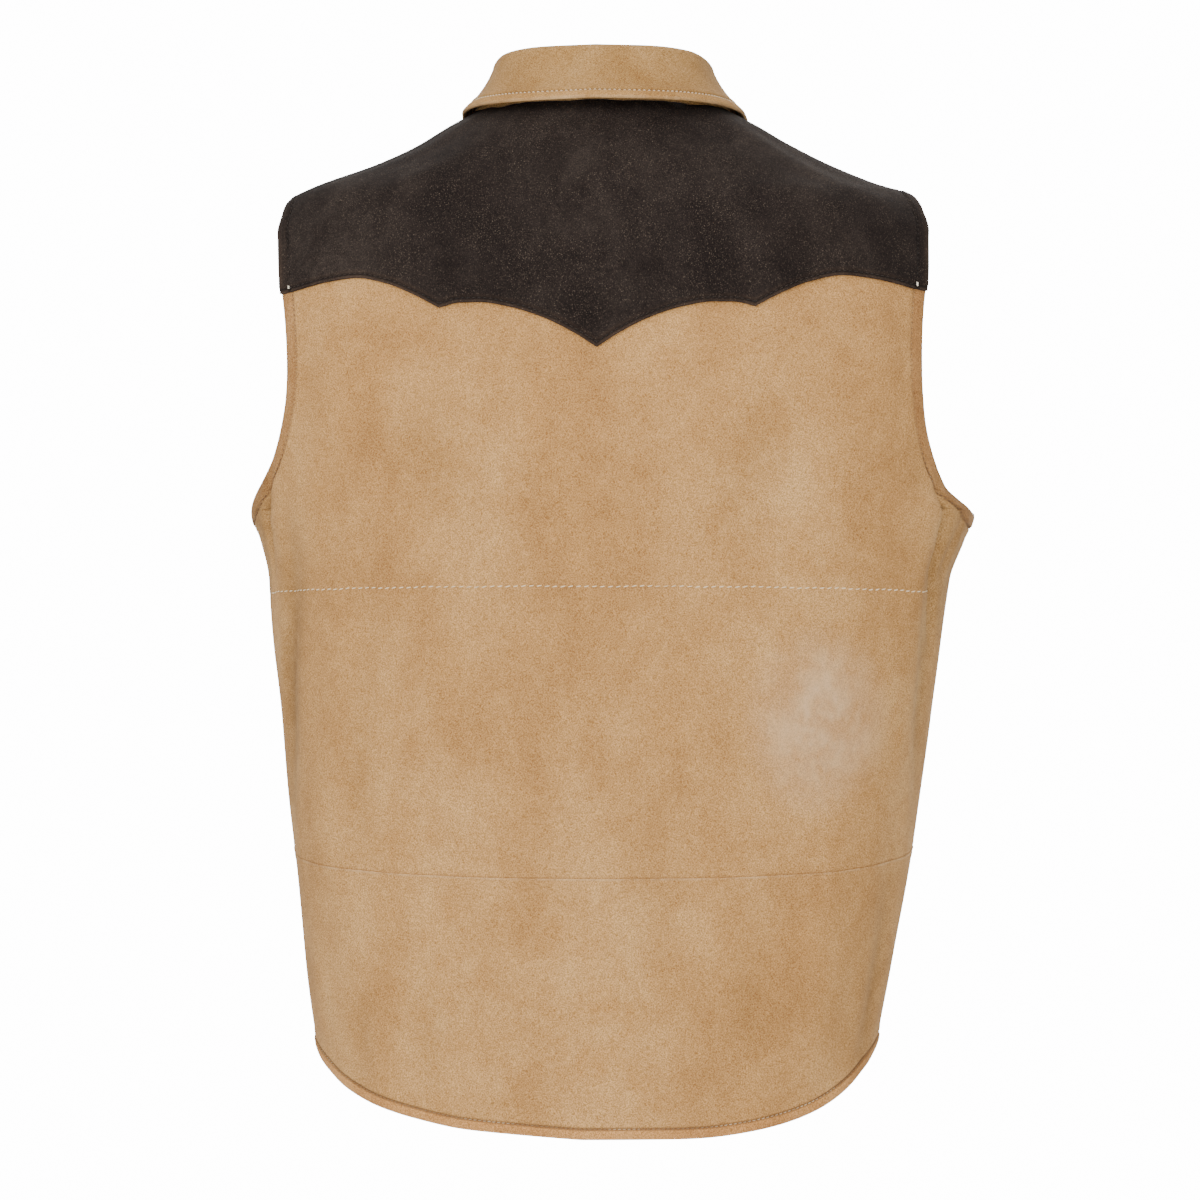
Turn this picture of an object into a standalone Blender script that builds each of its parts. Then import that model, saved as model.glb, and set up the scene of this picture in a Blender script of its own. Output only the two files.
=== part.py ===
"""Western suede vest, filled out as if worn.

Lengths are in metres and +Z is up. The wearer faces -Y and the wearer's left is +X. The origin is
the middle of the neck at the height where the shoulders carry the vest.

The vest is one hollow body form, cut into panels. A place on the form is an angle round the body
(0 at the wearer's left side, 90 degrees at the back, -90 degrees at the front) and a height. Each
panel is a grid of such places, and its wall runs from the form's outside straight inwards.
"""

import math
from collections import namedtuple

import bpy
import numpy as np
from mathutils import Matrix, Vector

# Cloth and seams
SUEDE_WALL = 0.0018
YOKE_WALL = 0.0016
COLLAR_WALL = 0.0024
SEAM_GAP = 0.0003
YOKE_LIFT = YOKE_WALL + SEAM_GAP
YOKE_LAP = 0.008

# Heights of the main seams and edges
SHOULDER_TIP = -0.0565
UNDERARM = -0.2615
YOKE_CORNER = -0.1195
CHEST_SEAM = -0.3100
CHEST_SEAM_SIDE = -0.3125
WAIST_SEAM = -0.4950
WAIST_SEAM_SIDE = -0.4790
HEM_BACK = -0.6620
HEM_FRONT = -0.6560
HEM_SIDE = -0.6080

# Neck hole as seen from above
NECK_HALF_WIDTH = 0.0800
NECK_BACK_DEPTH = 0.0655
NECK_FRONT_DEPTH = 0.0680

# Armholes as seen from the side
ARMHOLE_BACK_REACH = 0.0720
ARMHOLE_FRONT_REACH = 0.0800
ARMHOLE_FULLNESS = 0.75
ARMHOLE_DROOP = 0.12
ARMHOLE_WIDEST = -0.150

# Front ends of the yoke and the overlap of the two fronts
YOKE_FRONT_ANGLE = math.radians(-29.0)
FRONT_DIP = 0.040
NECK_STEP_ANGLE = math.radians(6.0)
OVERLAP_COLUMNS = [-0.016, 0.0, 0.016, 0.028]

# Steps of the shared grids
LOBE_STEPS = 8
UPPER_STEPS = 6
ARMHOLE_STEPS = 9
YOKE_BACK_STEPS = 8
YOKE_FRONT_STEPS = 4
FRONT_COLUMNS = 12
BACK_SWAY_POWER = 2.2
FRONT_SWAY_POWER = 1.8
COLLAR_STEPS = 20

# Snaps
SNAP_COUNT = 6
SNAP_TOP = -0.088
SNAP_BOTTOM = -0.590
SNAP_RADIUS = 0.0062
SNAP_HEIGHT = 0.0026
SNAP_STEPS = 16
SNAP_SEAT = 0.0004

# The body form, from the neck down. Depths are measured from the line through both side seams. The
# flare pushes the sides alone out at the underarms, and the lean hangs towards the wearer's left.
Section = namedtuple("Section", "height half_width back_depth front_depth squareness flare lean")
SECTIONS = [
    Section(0.0120, 0.0640, 0.0620, 0.0400, 2.00, 0.0000, 0.0000),
    Section(0.0000, 0.0860, 0.0700, 0.0440, 2.00, 0.0000, 0.0000),
    Section(-0.0080, 0.1010, 0.0755, 0.0475, 2.00, 0.0000, 0.0000),
    Section(-0.0210, 0.1225, 0.0830, 0.0520, 2.00, 0.0000, 0.0000),
    Section(-0.0340, 0.1490, 0.0890, 0.0570, 2.05, 0.0000, 0.0000),
    Section(-0.0475, 0.1845, 0.0950, 0.0630, 2.10, 0.0000, 0.0000),
    Section(-0.0540, 0.2015, 0.0980, 0.0660, 2.15, 0.0000, 0.0000),
    Section(-0.0650, 0.2155, 0.1025, 0.0730, 2.20, 0.0000, 0.0000),
    Section(-0.0800, 0.2255, 0.1080, 0.0830, 2.30, 0.0000, -0.0010),
    Section(-0.1200, 0.2320, 0.1180, 0.1040, 2.40, 0.0000, -0.0020),
    Section(-0.1700, 0.2300, 0.1270, 0.1200, 2.45, 0.0000, -0.0040),
    Section(-0.2150, 0.2275, 0.1320, 0.1290, 2.45, 0.0020, -0.0045),
    Section(-0.2450, 0.2255, 0.1340, 0.1330, 2.45, 0.0070, -0.0050),
    Section(-0.2615, 0.2245, 0.1345, 0.1340, 2.45, 0.0130, -0.0055),
    Section(-0.2785, 0.2235, 0.1345, 0.1345, 2.43, 0.0085, -0.0055),
    Section(-0.3050, 0.2218, 0.1340, 0.1350, 2.42, 0.0037, -0.0045),
    Section(-0.3445, 0.2180, 0.1325, 0.1345, 2.40, 0.0015, -0.0030),
    Section(-0.3970, 0.2130, 0.1295, 0.1320, 2.40, 0.0000, -0.0015),
    Section(-0.4500, 0.2075, 0.1260, 0.1290, 2.40, 0.0000, 0.0000),
    Section(-0.5030, 0.2010, 0.1225, 0.1255, 2.40, 0.0000, 0.0010),
    Section(-0.5560, 0.1935, 0.1190, 0.1220, 2.40, 0.0000, 0.0025),
    Section(-0.6085, 0.1845, 0.1150, 0.1180, 2.40, 0.0000, 0.0040),
    Section(-0.6800, 0.1745, 0.1110, 0.1130, 2.40, 0.0000, 0.0040),
]
FLARE_FOCUS = 6

# Soft folds: a negative depth is a trough. Each runs from its top place to its bottom place.
Fold = namedtuple("Fold", "top_angle top_height bottom_angle bottom_height depth breadth")
FOLDS = [
    Fold(32, -0.235, 12, -0.500, -0.0045, 0.016),
    Fold(46, -0.300, 34, -0.560, 0.0022, 0.020),
    Fold(150, -0.250, 166, -0.480, -0.0040, 0.017),
    Fold(160, -0.470, 163, -0.660, -0.0030, 0.014),
    Fold(133, -0.380, 140, -0.640, 0.0020, 0.022),
    Fold(62, -0.160, 72, -0.290, -0.0014, 0.020),
    Fold(116, -0.170, 108, -0.300, -0.0014, 0.018),
    Fold(-34, -0.210, -14, -0.500, -0.0045, 0.017),
    Fold(-148, -0.215, -165, -0.470, -0.0042, 0.016),
    Fold(-52, -0.330, -44, -0.640, 0.0024, 0.022),
    Fold(-124, -0.360, -136, -0.630, 0.0022, 0.020),
]
FOLD_RADIUS = 0.155

# Share of the side's rise that the hem keeps at each angle from the side seam towards the middle
HEM_ANGLES = [0, 8, 16, 28, 39, 55, 68, 90]
HEM_RISE = [1.00, 0.92, 0.79, 0.56, 0.38, 0.19, 0.08, 0.00]

# Lower edge of the yoke on half of the back: distance from the middle, and height
Scallop = namedtuple("Scallop", "out height")
INNER_LOBE = [
    Scallop(0.0000, -0.1575),
    Scallop(0.0150, -0.1480),
    Scallop(0.0340, -0.1385),
    Scallop(0.0560, -0.1315),
    Scallop(0.0750, -0.1285),
    Scallop(0.0870, -0.1285),
    Scallop(0.1010, -0.1315),
]
OUTER_LOBE = [
    Scallop(0.1010, -0.1315),
    Scallop(0.1170, -0.1230),
    Scallop(0.1360, -0.1150),
    Scallop(0.1560, -0.1110),
    Scallop(0.1760, -0.1130),
    Scallop(0.1930, -0.1165),
    Scallop(0.2060, -0.1195),
]

# Collar, from the middle of the back to the front end. The turn is the angle round the neck hole.
CollarStation = namedtuple(
    "CollarStation", "turn fold_out fold_back fold_height edge_out edge_back edge_height"
)
COLLAR = [
    CollarStation(90, 0.0000, 0.0605, 0.0408, 0.0000, 0.0905, 0.0045),
    CollarStation(60, 0.0370, 0.0520, 0.0404, 0.0440, 0.0790, 0.0042),
    CollarStation(30, 0.0620, 0.0290, 0.0380, 0.0785, 0.0450, 0.0036),
    CollarStation(0, 0.0690, -0.0040, 0.0320, 0.0930, 0.0010, 0.0022),
    CollarStation(-30, 0.0600, -0.0340, 0.0160, 0.0955, -0.0400, -0.0110),
    CollarStation(-60, 0.0350, -0.0560, -0.0080, 0.0840, -0.0700, -0.0480),
    CollarStation(-84, 0.0070, -0.0660, -0.0260, 0.0620, -0.0940, -0.0900),
]
COLLAR_ROLL = 0.0032
COLLAR_BOW = 0.0025
COLLAR_SEAT = 0.0006

# Colours, each with a roughness and a metallic value
TAN_SUEDE = ((0.50, 0.32, 0.17), 0.92, 0.0)
DARK_SUEDE = ((0.040, 0.030, 0.024), 0.90, 0.0)
SNAP_METAL = ((0.42, 0.32, 0.20), 0.35, 1.0)

LEFT_SIDE, BACK, FRONT = 0.0, math.pi / 2, -math.pi / 2
COLLECTION = "western_vest"


def curve_through(places, values):
    """A smooth curve that passes every point and never overshoots between two of them."""
    places, values = np.asarray(places, float), np.asarray(values, float)
    widths = np.diff(places)
    chords = np.diff(values) / widths
    same_way = chords[:-1] * chords[1:] > 0
    sums = np.where(same_way, chords[:-1] + chords[1:], 1.0)
    inner = np.where(same_way, 2 * chords[:-1] * chords[1:] / sums, 0.0)
    slopes = np.concatenate([chords[:1], inner, chords[-1:]])

    def value(place):
        place = np.clip(place, places[0], places[-1])
        i = np.clip(np.searchsorted(places, place) - 1, 0, len(widths) - 1)
        t = (place - places[i]) / widths[i]
        start = (1 + 2 * t) * (1 - t) ** 2 * values[i] + t * (1 - t) ** 2 * widths[i] * slopes[i]
        end = t**2 * (3 - 2 * t) * values[i + 1] - t**2 * (1 - t) * widths[i] * slopes[i + 1]
        return start + end

    return value


def column_of(rows, name):
    """One column of a table as a smooth curve over the table's first column."""
    ordered = sorted(rows)
    return curve_through([row[0] for row in ordered], [getattr(row, name) for row in ordered])


half_width = column_of(SECTIONS, "half_width")
back_depth = column_of(SECTIONS, "back_depth")
front_depth = column_of(SECTIONS, "front_depth")
squareness = column_of(SECTIONS, "squareness")
flare = column_of(SECTIONS, "flare")
lean = column_of(SECTIONS, "lean")
hem_rise = curve_through(HEM_ANGLES, HEM_RISE)


def bare_form(angle, height):
    """The smooth body: at each height a rounded oblong, deeper or shallower in front than behind."""
    across, along = np.cos(angle), np.sin(angle)
    power = 2 / squareness(height)
    depth = np.where(along > 0, back_depth(height), front_depth(height))
    x = half_width(height) * np.abs(across) ** power + flare(height) * np.abs(across) ** FLARE_FOCUS
    x = x * np.sign(across) + lean(height)
    y = depth * np.sign(along) * np.abs(along) ** power
    return np.stack([x, y, height + 0 * angle], axis=-1)


def outward(angle, height):
    """Unit vector straight out of the smooth body, from the slopes along both directions."""
    step = 1e-3
    round_body = bare_form(angle + step, height) - bare_form(angle - step, height)
    up_body = bare_form(angle, height + step) - bare_form(angle, height - step)
    normal = np.cross(round_body, up_body)
    return normal / np.linalg.norm(normal, axis=-1, keepdims=True)


def fold_lift(angle, height):
    """How far the folds push the cloth out (or in), as soft bands that fade at both ends."""
    lift = np.zeros(np.broadcast(angle, height).shape)
    for fold in FOLDS:
        share = np.clip((height - fold.top_height) / (fold.bottom_height - fold.top_height), 0, 1)
        line = np.radians(fold.top_angle + (fold.bottom_angle - fold.top_angle) * share)
        aside = (angle - line) * FOLD_RADIUS / fold.breadth
        lift += fold.depth * np.exp(-(aside**2)) * np.sin(math.pi * share) ** 1.5
    return lift


def on_form(angle, height, lift=0.0):
    """Points on the folded body, moved outwards by the lift."""
    angle, height, lift = np.broadcast_arrays(np.asarray(angle, float), height, lift)
    out = lift + fold_lift(wrapped(angle), height)
    return bare_form(angle, height) + outward(angle, height) * out[..., None]


def wrapped(angle):
    """The same angle, from -180 degrees at the wearer's right side round to +180."""
    return (angle + math.pi) % (2 * math.pi) - math.pi


def mirrored(angle):
    """The angle of the same place on the wearer's other side."""
    return math.pi - angle


def angle_at(y, height):
    """Angle on the wearer's left side at which the form is y deep."""
    depth = np.where(y > 0, back_depth(height), front_depth(height))
    return np.sign(y) * np.arcsin(np.clip(np.abs(y) / depth, 0, 1) ** (squareness(height) / 2))


def angle_beside(middle, x, height):
    """Angle near the middle of the back or front at which the form is x away from the middle."""
    turn = np.arcsin(np.clip(np.abs(x) / half_width(height), 0, 1) ** (squareness(height) / 2))
    return middle + np.sign(x) * turn * (1 if middle == FRONT else -1)


def armhole_angle(height, reach):
    """Armhole edge: an oval seen from the side, fuller than an ellipse and widest below its middle."""
    middle = (SHOULDER_TIP + UNDERARM) / 2
    half = (SHOULDER_TIP - UNDERARM) / 2
    down = np.clip((middle - height) / half, -1, 1)
    y = reach * (1 - down**2) ** (ARMHOLE_FULLNESS / 2) * (1 + ARMHOLE_DROOP * down)
    return angle_at(y, height)


def hem_height(angle):
    """Shirt-tail hem: highest at the sides and lowest at the middles."""
    from_side = np.minimum(np.abs(wrapped(angle)), np.abs(wrapped(angle - math.pi)))
    lowest = np.where(np.sin(angle) > 0, HEM_BACK, HEM_FRONT)
    return lowest + (HEM_SIDE - lowest) * hem_rise(np.degrees(from_side))


def sagging_seam(middle, side):
    """A cross seam on the back: its height falls or rises from the side to the middle."""
    return lambda angle: side + (middle - side) * np.abs(np.sin(angle)) ** 0.7


def above(edge):
    """The same edge, half a seam's gap higher."""
    return lambda angle: edge(angle) + SEAM_GAP / 2


def below(edge):
    """The same edge, half a seam's gap lower."""
    return lambda angle: edge(angle) - SEAM_GAP / 2


chest_seam = sagging_seam(CHEST_SEAM, CHEST_SEAM_SIDE)
waist_seam = sagging_seam(WAIST_SEAM, WAIST_SEAM_SIDE)


def neck_edge_table():
    """(angles, heights) of the neck hole: an oval from above, dropped onto the form by halving."""
    turn = np.radians(np.linspace(-90, 90, 181))
    x = NECK_HALF_WIDTH * np.cos(turn)
    y = np.where(turn > 0, NECK_BACK_DEPTH, NECK_FRONT_DEPTH) * np.sin(turn)
    low, high = np.full_like(x, -0.10), np.full_like(x, SECTIONS[0].height)
    for _ in range(40):
        height = (low + high) / 2
        depth = np.where(y > 0, back_depth(height), front_depth(height))
        power = squareness(height)
        inside = (x / half_width(height)) ** power + (np.abs(y) / depth) ** power < 1
        low, high = np.where(inside, height, low), np.where(inside, high, height)
    return np.where(np.abs(turn) > 1.57, turn, angle_at(y, height)), height


NECK_ANGLES, NECK_HEIGHTS = neck_edge_table()


def neck_height(angle):
    """Height of the neck edge at an angle, the same on both sides."""
    near = np.where(np.cos(angle) < 0, mirrored(angle), angle)
    return np.interp(wrapped(near), NECK_ANGLES, NECK_HEIGHTS)


# Rows and columns that neighbouring panels share


def lobe_edge(lobe):
    """(angles, heights) along one lobe of the scallop, from the middle of the back outwards."""
    out = [row.out for row in lobe]
    across = np.linspace(out[0], out[-1], LOBE_STEPS + 1)
    height = curve_through(out, [row.height for row in lobe])(across)
    return angle_beside(BACK, across, height), height


def scallop_edge():
    """(angles, heights) of the yoke's lower edge on the back, from the left armhole to the right one."""
    (inner_angle, inner_height), (outer_angle, outer_height) = lobe_edge(INNER_LOBE), lobe_edge(OUTER_LOBE)
    angle = np.concatenate([inner_angle, outer_angle[1:]])
    height = np.concatenate([inner_height, outer_height[1:]])
    angle[-1], height[-1] = armhole_angle(YOKE_CORNER, ARMHOLE_BACK_REACH), YOKE_CORNER
    both_angles = np.concatenate([angle[::-1], mirrored(angle[1:])])
    return both_angles, np.concatenate([height[::-1], height[1:]])


def top_of_armhole(angle, reach):
    """Height at which the armhole's upper arc passes an angle."""
    heights = np.linspace(ARMHOLE_WIDEST, SHOULDER_TIP, 400)
    angles = np.abs(armhole_angle(heights, reach))
    return np.interp(-np.abs(angle), -angles, heights)


def upper_rows(bottom, top):
    """Heights of the rows above a panel's bottom edge: the lap first, then even steps to the top."""
    lap = bottom + YOKE_LAP
    return np.vstack([bottom, lap + (top - lap) * np.linspace(0, 1, UPPER_STEPS + 1)[:, None]])


def armhole_rows(top):
    """Heights up an armhole, close together where its lower curve is nearly level."""
    return top + (UNDERARM - top) * np.cos(np.linspace(0, math.pi / 2, ARMHOLE_STEPS + 1))


def armhole_arc(low, reach, steps):
    """(angles, heights) up an armhole's upper arc to the shoulder, evenly spaced round the oval."""
    middle, half = (SHOULDER_TIP + UNDERARM) / 2, (SHOULDER_TIP - UNDERARM) / 2
    turn = np.linspace(math.acos((low - middle) / half), 0, steps + 1)
    heights = middle + half * np.cos(turn)
    return armhole_angle(heights, reach), heights


def shares_of(rows):
    """Each row's share of the way from the first row to the last, as a column."""
    return ((rows - rows[0]) / (rows[-1] - rows[0]))[:, None]


SCALLOP_ANGLES, SCALLOP_HEIGHTS = scallop_edge()
BACK_SHARES = (SCALLOP_ANGLES - SCALLOP_ANGLES[0]) / (SCALLOP_ANGLES[-1] - SCALLOP_ANGLES[0])
BACK_SWAY = np.sign(1 - 2 * BACK_SHARES) * np.abs(1 - 2 * BACK_SHARES) ** BACK_SWAY_POWER
BACK_COLUMNS = SCALLOP_ANGLES - SCALLOP_ANGLES[0] * BACK_SWAY
LOWER_ROWS = np.linspace(HEM_SIDE, WAIST_SEAM_SIDE, 6)
MIDDLE_ROWS = np.linspace(WAIST_SEAM_SIDE, CHEST_SEAM_SIDE, 7)
CHEST_ROWS = np.linspace(CHEST_SEAM_SIDE, UNDERARM, 4)
FRONT_CORNER = float(top_of_armhole(YOKE_FRONT_ANGLE, -ARMHOLE_FRONT_REACH))


# Building cloth


def suede(name, look):
    """A plain material with the cloth's colour, roughness and metallic value."""
    colour, roughness, metallic = look
    material = bpy.data.materials.new(name)
    material.use_nodes = True
    shader = material.node_tree.nodes["Principled BSDF"]
    shader.inputs["Base Color"].default_value = (*colour, 1.0)
    shader.inputs["Roughness"].default_value = roughness
    shader.inputs["Metallic"].default_value = metallic
    material.diffuse_color = (*colour, 1.0)
    return material


def add_object(name, mesh, material):
    """A smooth-shaded object in the vest's own collection."""
    mesh.materials.append(material)
    mesh.shade_smooth()
    mesh.set_sharp_from_angle(angle=math.radians(50))
    piece = bpy.data.objects.new(name, mesh)
    bpy.data.collections[COLLECTION].objects.link(piece)
    return piece


def grid_faces(numbers):
    """Corner numbers of the squares of a grid of point numbers."""
    corners = [numbers[:-1, :-1], numbers[:-1, 1:], numbers[1:, 1:], numbers[1:, :-1]]
    return np.stack(corners, axis=-1).reshape(-1, 4)


def across_short_diagonal(faces, points):
    """The same squares, each numbered so that it splits along its shorter diagonal."""
    corners = points[faces]
    first = np.linalg.norm(corners[:, 2] - corners[:, 0], axis=-1)
    second = np.linalg.norm(corners[:, 3] - corners[:, 1], axis=-1)
    return np.where((second < first - 1e-6)[:, None], np.roll(faces, -1, axis=1), faces)


def cloth(name, patches, wall, material):
    """A closed wall over patches of (angles, heights, lifts), joined where they share places.

    The inner face has the same places as the outer one, a wall's thickness further in, and a
    rim joins the two along each edge that has cloth on one side only.
    """
    places = [np.stack(np.broadcast_arrays(*patch), axis=-1) for patch in patches]
    every = np.concatenate([patch.reshape(-1, 3) for patch in places])
    _, first, number = np.unique(every[:, :2].round(7), axis=0, return_index=True, return_inverse=True)
    angle, height, lift = every[first].T
    faces, start = [], 0
    for patch in places:
        rows, columns = patch.shape[:2]
        numbers = number.reshape(-1)[start : start + rows * columns].reshape(rows, columns)
        faces.append(grid_faces(numbers))
        start += rows * columns
    faces = across_short_diagonal(np.concatenate(faces), on_form(angle, height))
    edges = np.concatenate([faces[:, [i, (i + 1) % 4]] for i in range(4)])
    known = {tuple(edge) for edge in edges.tolist()}
    rim = np.array([edge for edge in edges.tolist() if (edge[1], edge[0]) not in known])
    inner = len(first)
    rims = np.stack([rim[:, 1], rim[:, 0], rim[:, 0] + inner, rim[:, 1] + inner], axis=-1)
    points = np.concatenate([on_form(angle, height, lift), on_form(angle, height, lift - wall)])
    every_face = np.concatenate([faces, faces[:, [0, 3, 2, 1]] + inner, rims])
    mesh = bpy.data.meshes.new(name)
    mesh.from_pydata(points.tolist(), [], every_face.tolist())
    return add_object(name, mesh, material)


# Yoke


def build_yoke(material):
    """One piece: from its front left end over the shoulder, round the back, and down the other side."""
    front_angles, front_heights = armhole_arc(FRONT_CORNER, -ARMHOLE_FRONT_REACH, YOKE_FRONT_STEPS)
    back_angles, back_heights = armhole_arc(YOKE_CORNER, ARMHOLE_BACK_REACH, YOKE_BACK_STEPS)
    shoulder = np.concatenate([front_angles, back_angles[1:-1][::-1]])
    armhole = np.concatenate([front_heights, back_heights[1:-1][::-1]])
    angle = np.concatenate([shoulder, SCALLOP_ANGLES, mirrored(shoulder)[::-1]])
    bottom = np.concatenate([armhole, SCALLOP_HEIGHTS, armhole[::-1]])
    height = upper_rows(bottom, neck_height(angle))
    cloth("yoke", [(angle, height, YOKE_LIFT)], YOKE_WALL, material)


# Back


def side_seam_opening(height):
    """Angle from the side line to either edge of the side seam: half the seam's gap."""
    return SEAM_GAP / 2 / back_depth(height)


def build_back_panel(name, rows, low_edge, high_edge, material):
    """A back panel between two cross seams, from side seam to side seam."""
    angle = BACK_COLUMNS + side_seam_opening(rows)[:, None] * BACK_SWAY
    low, high = low_edge(angle), high_edge(angle)
    cloth(name, [(angle, low + (high - low) * shares_of(rows), 0.0)], SUEDE_WALL, material)


def build_back_upper(material):
    """Upper back: up the side seams, up the armholes, then a lap that lies under the yoke."""
    arm_rows = armhole_rows(YOKE_CORNER)[1:]
    rows = np.concatenate([CHEST_ROWS, arm_rows])
    left = np.concatenate([side_seam_opening(CHEST_ROWS), armhole_angle(arm_rows, ARMHOLE_BACK_REACH)])
    angle = BACK_COLUMNS + left[:, None] * BACK_SWAY
    low = chest_seam(angle) + SEAM_GAP / 2
    height = low + (SCALLOP_HEIGHTS - low) * shares_of(rows)
    angle, height = np.vstack([angle, angle[-1:]]), np.vstack([height, height[-1:] + YOKE_LAP])
    cloth("back_upper", [(angle, height, 0.0)], SUEDE_WALL, material)


# Fronts


def front_line(angle):
    """Where a front's lower patch meets its upper one: from the yoke's corner down to the middle."""
    share = np.clip((YOKE_FRONT_ANGLE - angle) / (YOKE_FRONT_ANGLE - FRONT), 0, 1)
    return FRONT_CORNER - FRONT_DIP * share


def front_grid(side, heights_of):
    """(angles, heights) of a left front's patch, from its free edge past the middle to its side."""
    middle = heights_of(np.array([[FRONT]]))
    band = np.hstack([angle_beside(FRONT, np.full_like(middle, x), middle) for x in OVERLAP_COLUMNS])
    share = np.linspace(0, 1, FRONT_COLUMNS + 1)[1:]
    main = band[:, -1:] * (1 - share) + side * share**FRONT_SWAY_POWER
    return np.hstack([band, main]), np.hstack([np.repeat(middle, band.shape[1], axis=1), heights_of(main)])


def build_front(name, on_left, material):
    """A front from hem to neck. The left one laps over the right one, which dips under it."""
    arm_rows = armhole_rows(FRONT_CORNER)[1:]
    seam_rows = np.concatenate([LOWER_ROWS, MIDDLE_ROWS[1:], CHEST_ROWS[1:]])
    rows = np.concatenate([seam_rows, arm_rows])
    side = np.concatenate([-side_seam_opening(seam_rows), armhole_angle(arm_rows, -ARMHOLE_FRONT_REACH)])
    share = shares_of(rows)
    lower = front_grid(
        side[:, None],
        lambda angle: hem_height(angle) * (1 - share) + front_line(angle) * share,
    )
    lap, lap_bottom = (arc[:2] for arc in armhole_arc(FRONT_CORNER, -ARMHOLE_FRONT_REACH, YOKE_FRONT_STEPS))
    upper = front_grid(
        np.full((UPPER_STEPS + 2, 1), lap[0]),
        lambda angle: upper_rows(front_line(angle[:1]), neck_height(angle[:1])),
    )
    lap_height = upper_rows(lap_bottom, neck_height(lap))
    lifts = np.zeros(lower[0].shape[1])
    if not on_left:
        lifts[: len(OVERLAP_COLUMNS) - 1] = -SUEDE_WALL - SEAM_GAP
    patches = [(*lower, lifts), (*upper, lifts), (lap, lap_height, 0.0)]
    if not on_left:
        patches = [mirrored_patch(patch) for patch in patches]
    cloth(name, patches, SUEDE_WALL, material)


def mirrored_patch(patch):
    """The same patch on the wearer's right, with its columns turned round so that it faces outwards."""
    angle, height, lift = np.broadcast_arrays(*patch)
    return mirrored(angle)[:, ::-1], height[:, ::-1], lift[:, ::-1]


# Collar


def neck_seam(turn):
    """Points of the collar's lower edge, just above the rim of the cloth round the neck hole."""
    places = np.radians(np.linspace(-90, 90, len(NECK_ANGLES)))
    angle = np.interp(turn, places, NECK_ANGLES)
    height = np.interp(turn, places, NECK_HEIGHTS)
    on_yoke = np.clip((angle - YOKE_FRONT_ANGLE) / NECK_STEP_ANGLE + 1, 0, 1)
    return on_form(angle, height, YOKE_LIFT * on_yoke) + np.array([0, 0, COLLAR_SEAT])


def collar_half():
    """Rows of points for the left half, from its front end to the middle of the back.

    Each row climbs the stand, rolls over the fold and flares down the fall.
    """
    turns = np.linspace(COLLAR[-1].turn, COLLAR[0].turn, COLLAR_STEPS + 1)
    values = {name: column_of(COLLAR, name)(turns)[:, None] for name in CollarStation._fields}
    foot = neck_seam(np.radians(turns))[:, None, :]
    fold = np.stack([values["fold_out"], values["fold_back"], values["fold_height"]], axis=-1)
    edge = np.stack([values["edge_out"], values["edge_back"], values["edge_height"]], axis=-1)
    outward_way = (edge - fold) * np.array([1, 1, 0])
    outward_way /= np.linalg.norm(outward_way, axis=-1, keepdims=True)
    up = np.array([0, 0, 1.0])
    roll = COLLAR_ROLL * outward_way
    stand_top = fold - roll - COLLAR_ROLL * up
    climb = np.linspace(0, 1, 4)[:-1, None]
    stand = foot + (stand_top - foot) * climb
    bend = np.radians(np.linspace(180, 0, 6))[:, None]
    crown = fold - COLLAR_ROLL * up + roll * np.cos(bend) + COLLAR_ROLL * up * np.sin(bend)
    drop = np.linspace(0, 1, 7)[1:, None]
    fall = crown[:, -1:] + (edge - crown[:, -1:]) * drop
    fall = fall - outward_way * COLLAR_BOW * 4 * drop * (1 - drop)
    return np.concatenate([stand, crown, fall], axis=1)


def build_collar(material):
    """Turned-down collar: both halves as one open sheet, given its thickness by a Solidify."""
    left = collar_half()
    right = left[:-1][::-1] * np.array([-1, 1, 1])
    points = np.concatenate([left, right])
    numbers = np.arange(points.shape[0] * points.shape[1]).reshape(points.shape[:2])
    mesh = bpy.data.meshes.new("collar")
    mesh.from_pydata(points.reshape(-1, 3).tolist(), [], grid_faces(numbers).tolist())
    collar = add_object("collar", mesh, material)
    thicken = collar.modifiers.new("Wall", "SOLIDIFY")
    thicken.thickness = COLLAR_WALL
    thicken.offset = 0.0
    thicken.use_even_offset = True


# Snaps


def snap_mesh():
    """Half a cap's outline, a low dome with a rolled rim, ready to be turned round its axis."""
    outline = [(0.0, 1.0), (0.45, 0.94), (0.80, 0.72), (0.96, 0.42), (1.0, 0.18), (0.95, 0.0), (0.0, 0.0)]
    points = [(SNAP_RADIUS * out, 0.0, SNAP_HEIGHT * up) for out, up in outline]
    mesh = bpy.data.meshes.new("snap_cap")
    mesh.from_pydata(points, [(i, i + 1) for i in range(len(points) - 1)], [])
    return mesh


def build_snap(name, height, material):
    """A cap on the middle line of the left front, its back just clear of the suede."""
    snap = add_object(name, snap_mesh(), material)
    middle, height = np.array(FRONT), np.array(height)
    way = Vector(outward(middle, height))
    seat = Vector(on_form(middle, height, SNAP_SEAT))
    snap.matrix_world = Matrix.Translation(seat) @ way.to_track_quat("Z", "Y").to_matrix().to_4x4()
    turn = snap.modifiers.new("Turned", "SCREW")
    turn.steps = turn.render_steps = SNAP_STEPS
    turn.use_merge_vertices = True
    turn.merge_threshold = 0.0001


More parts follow.
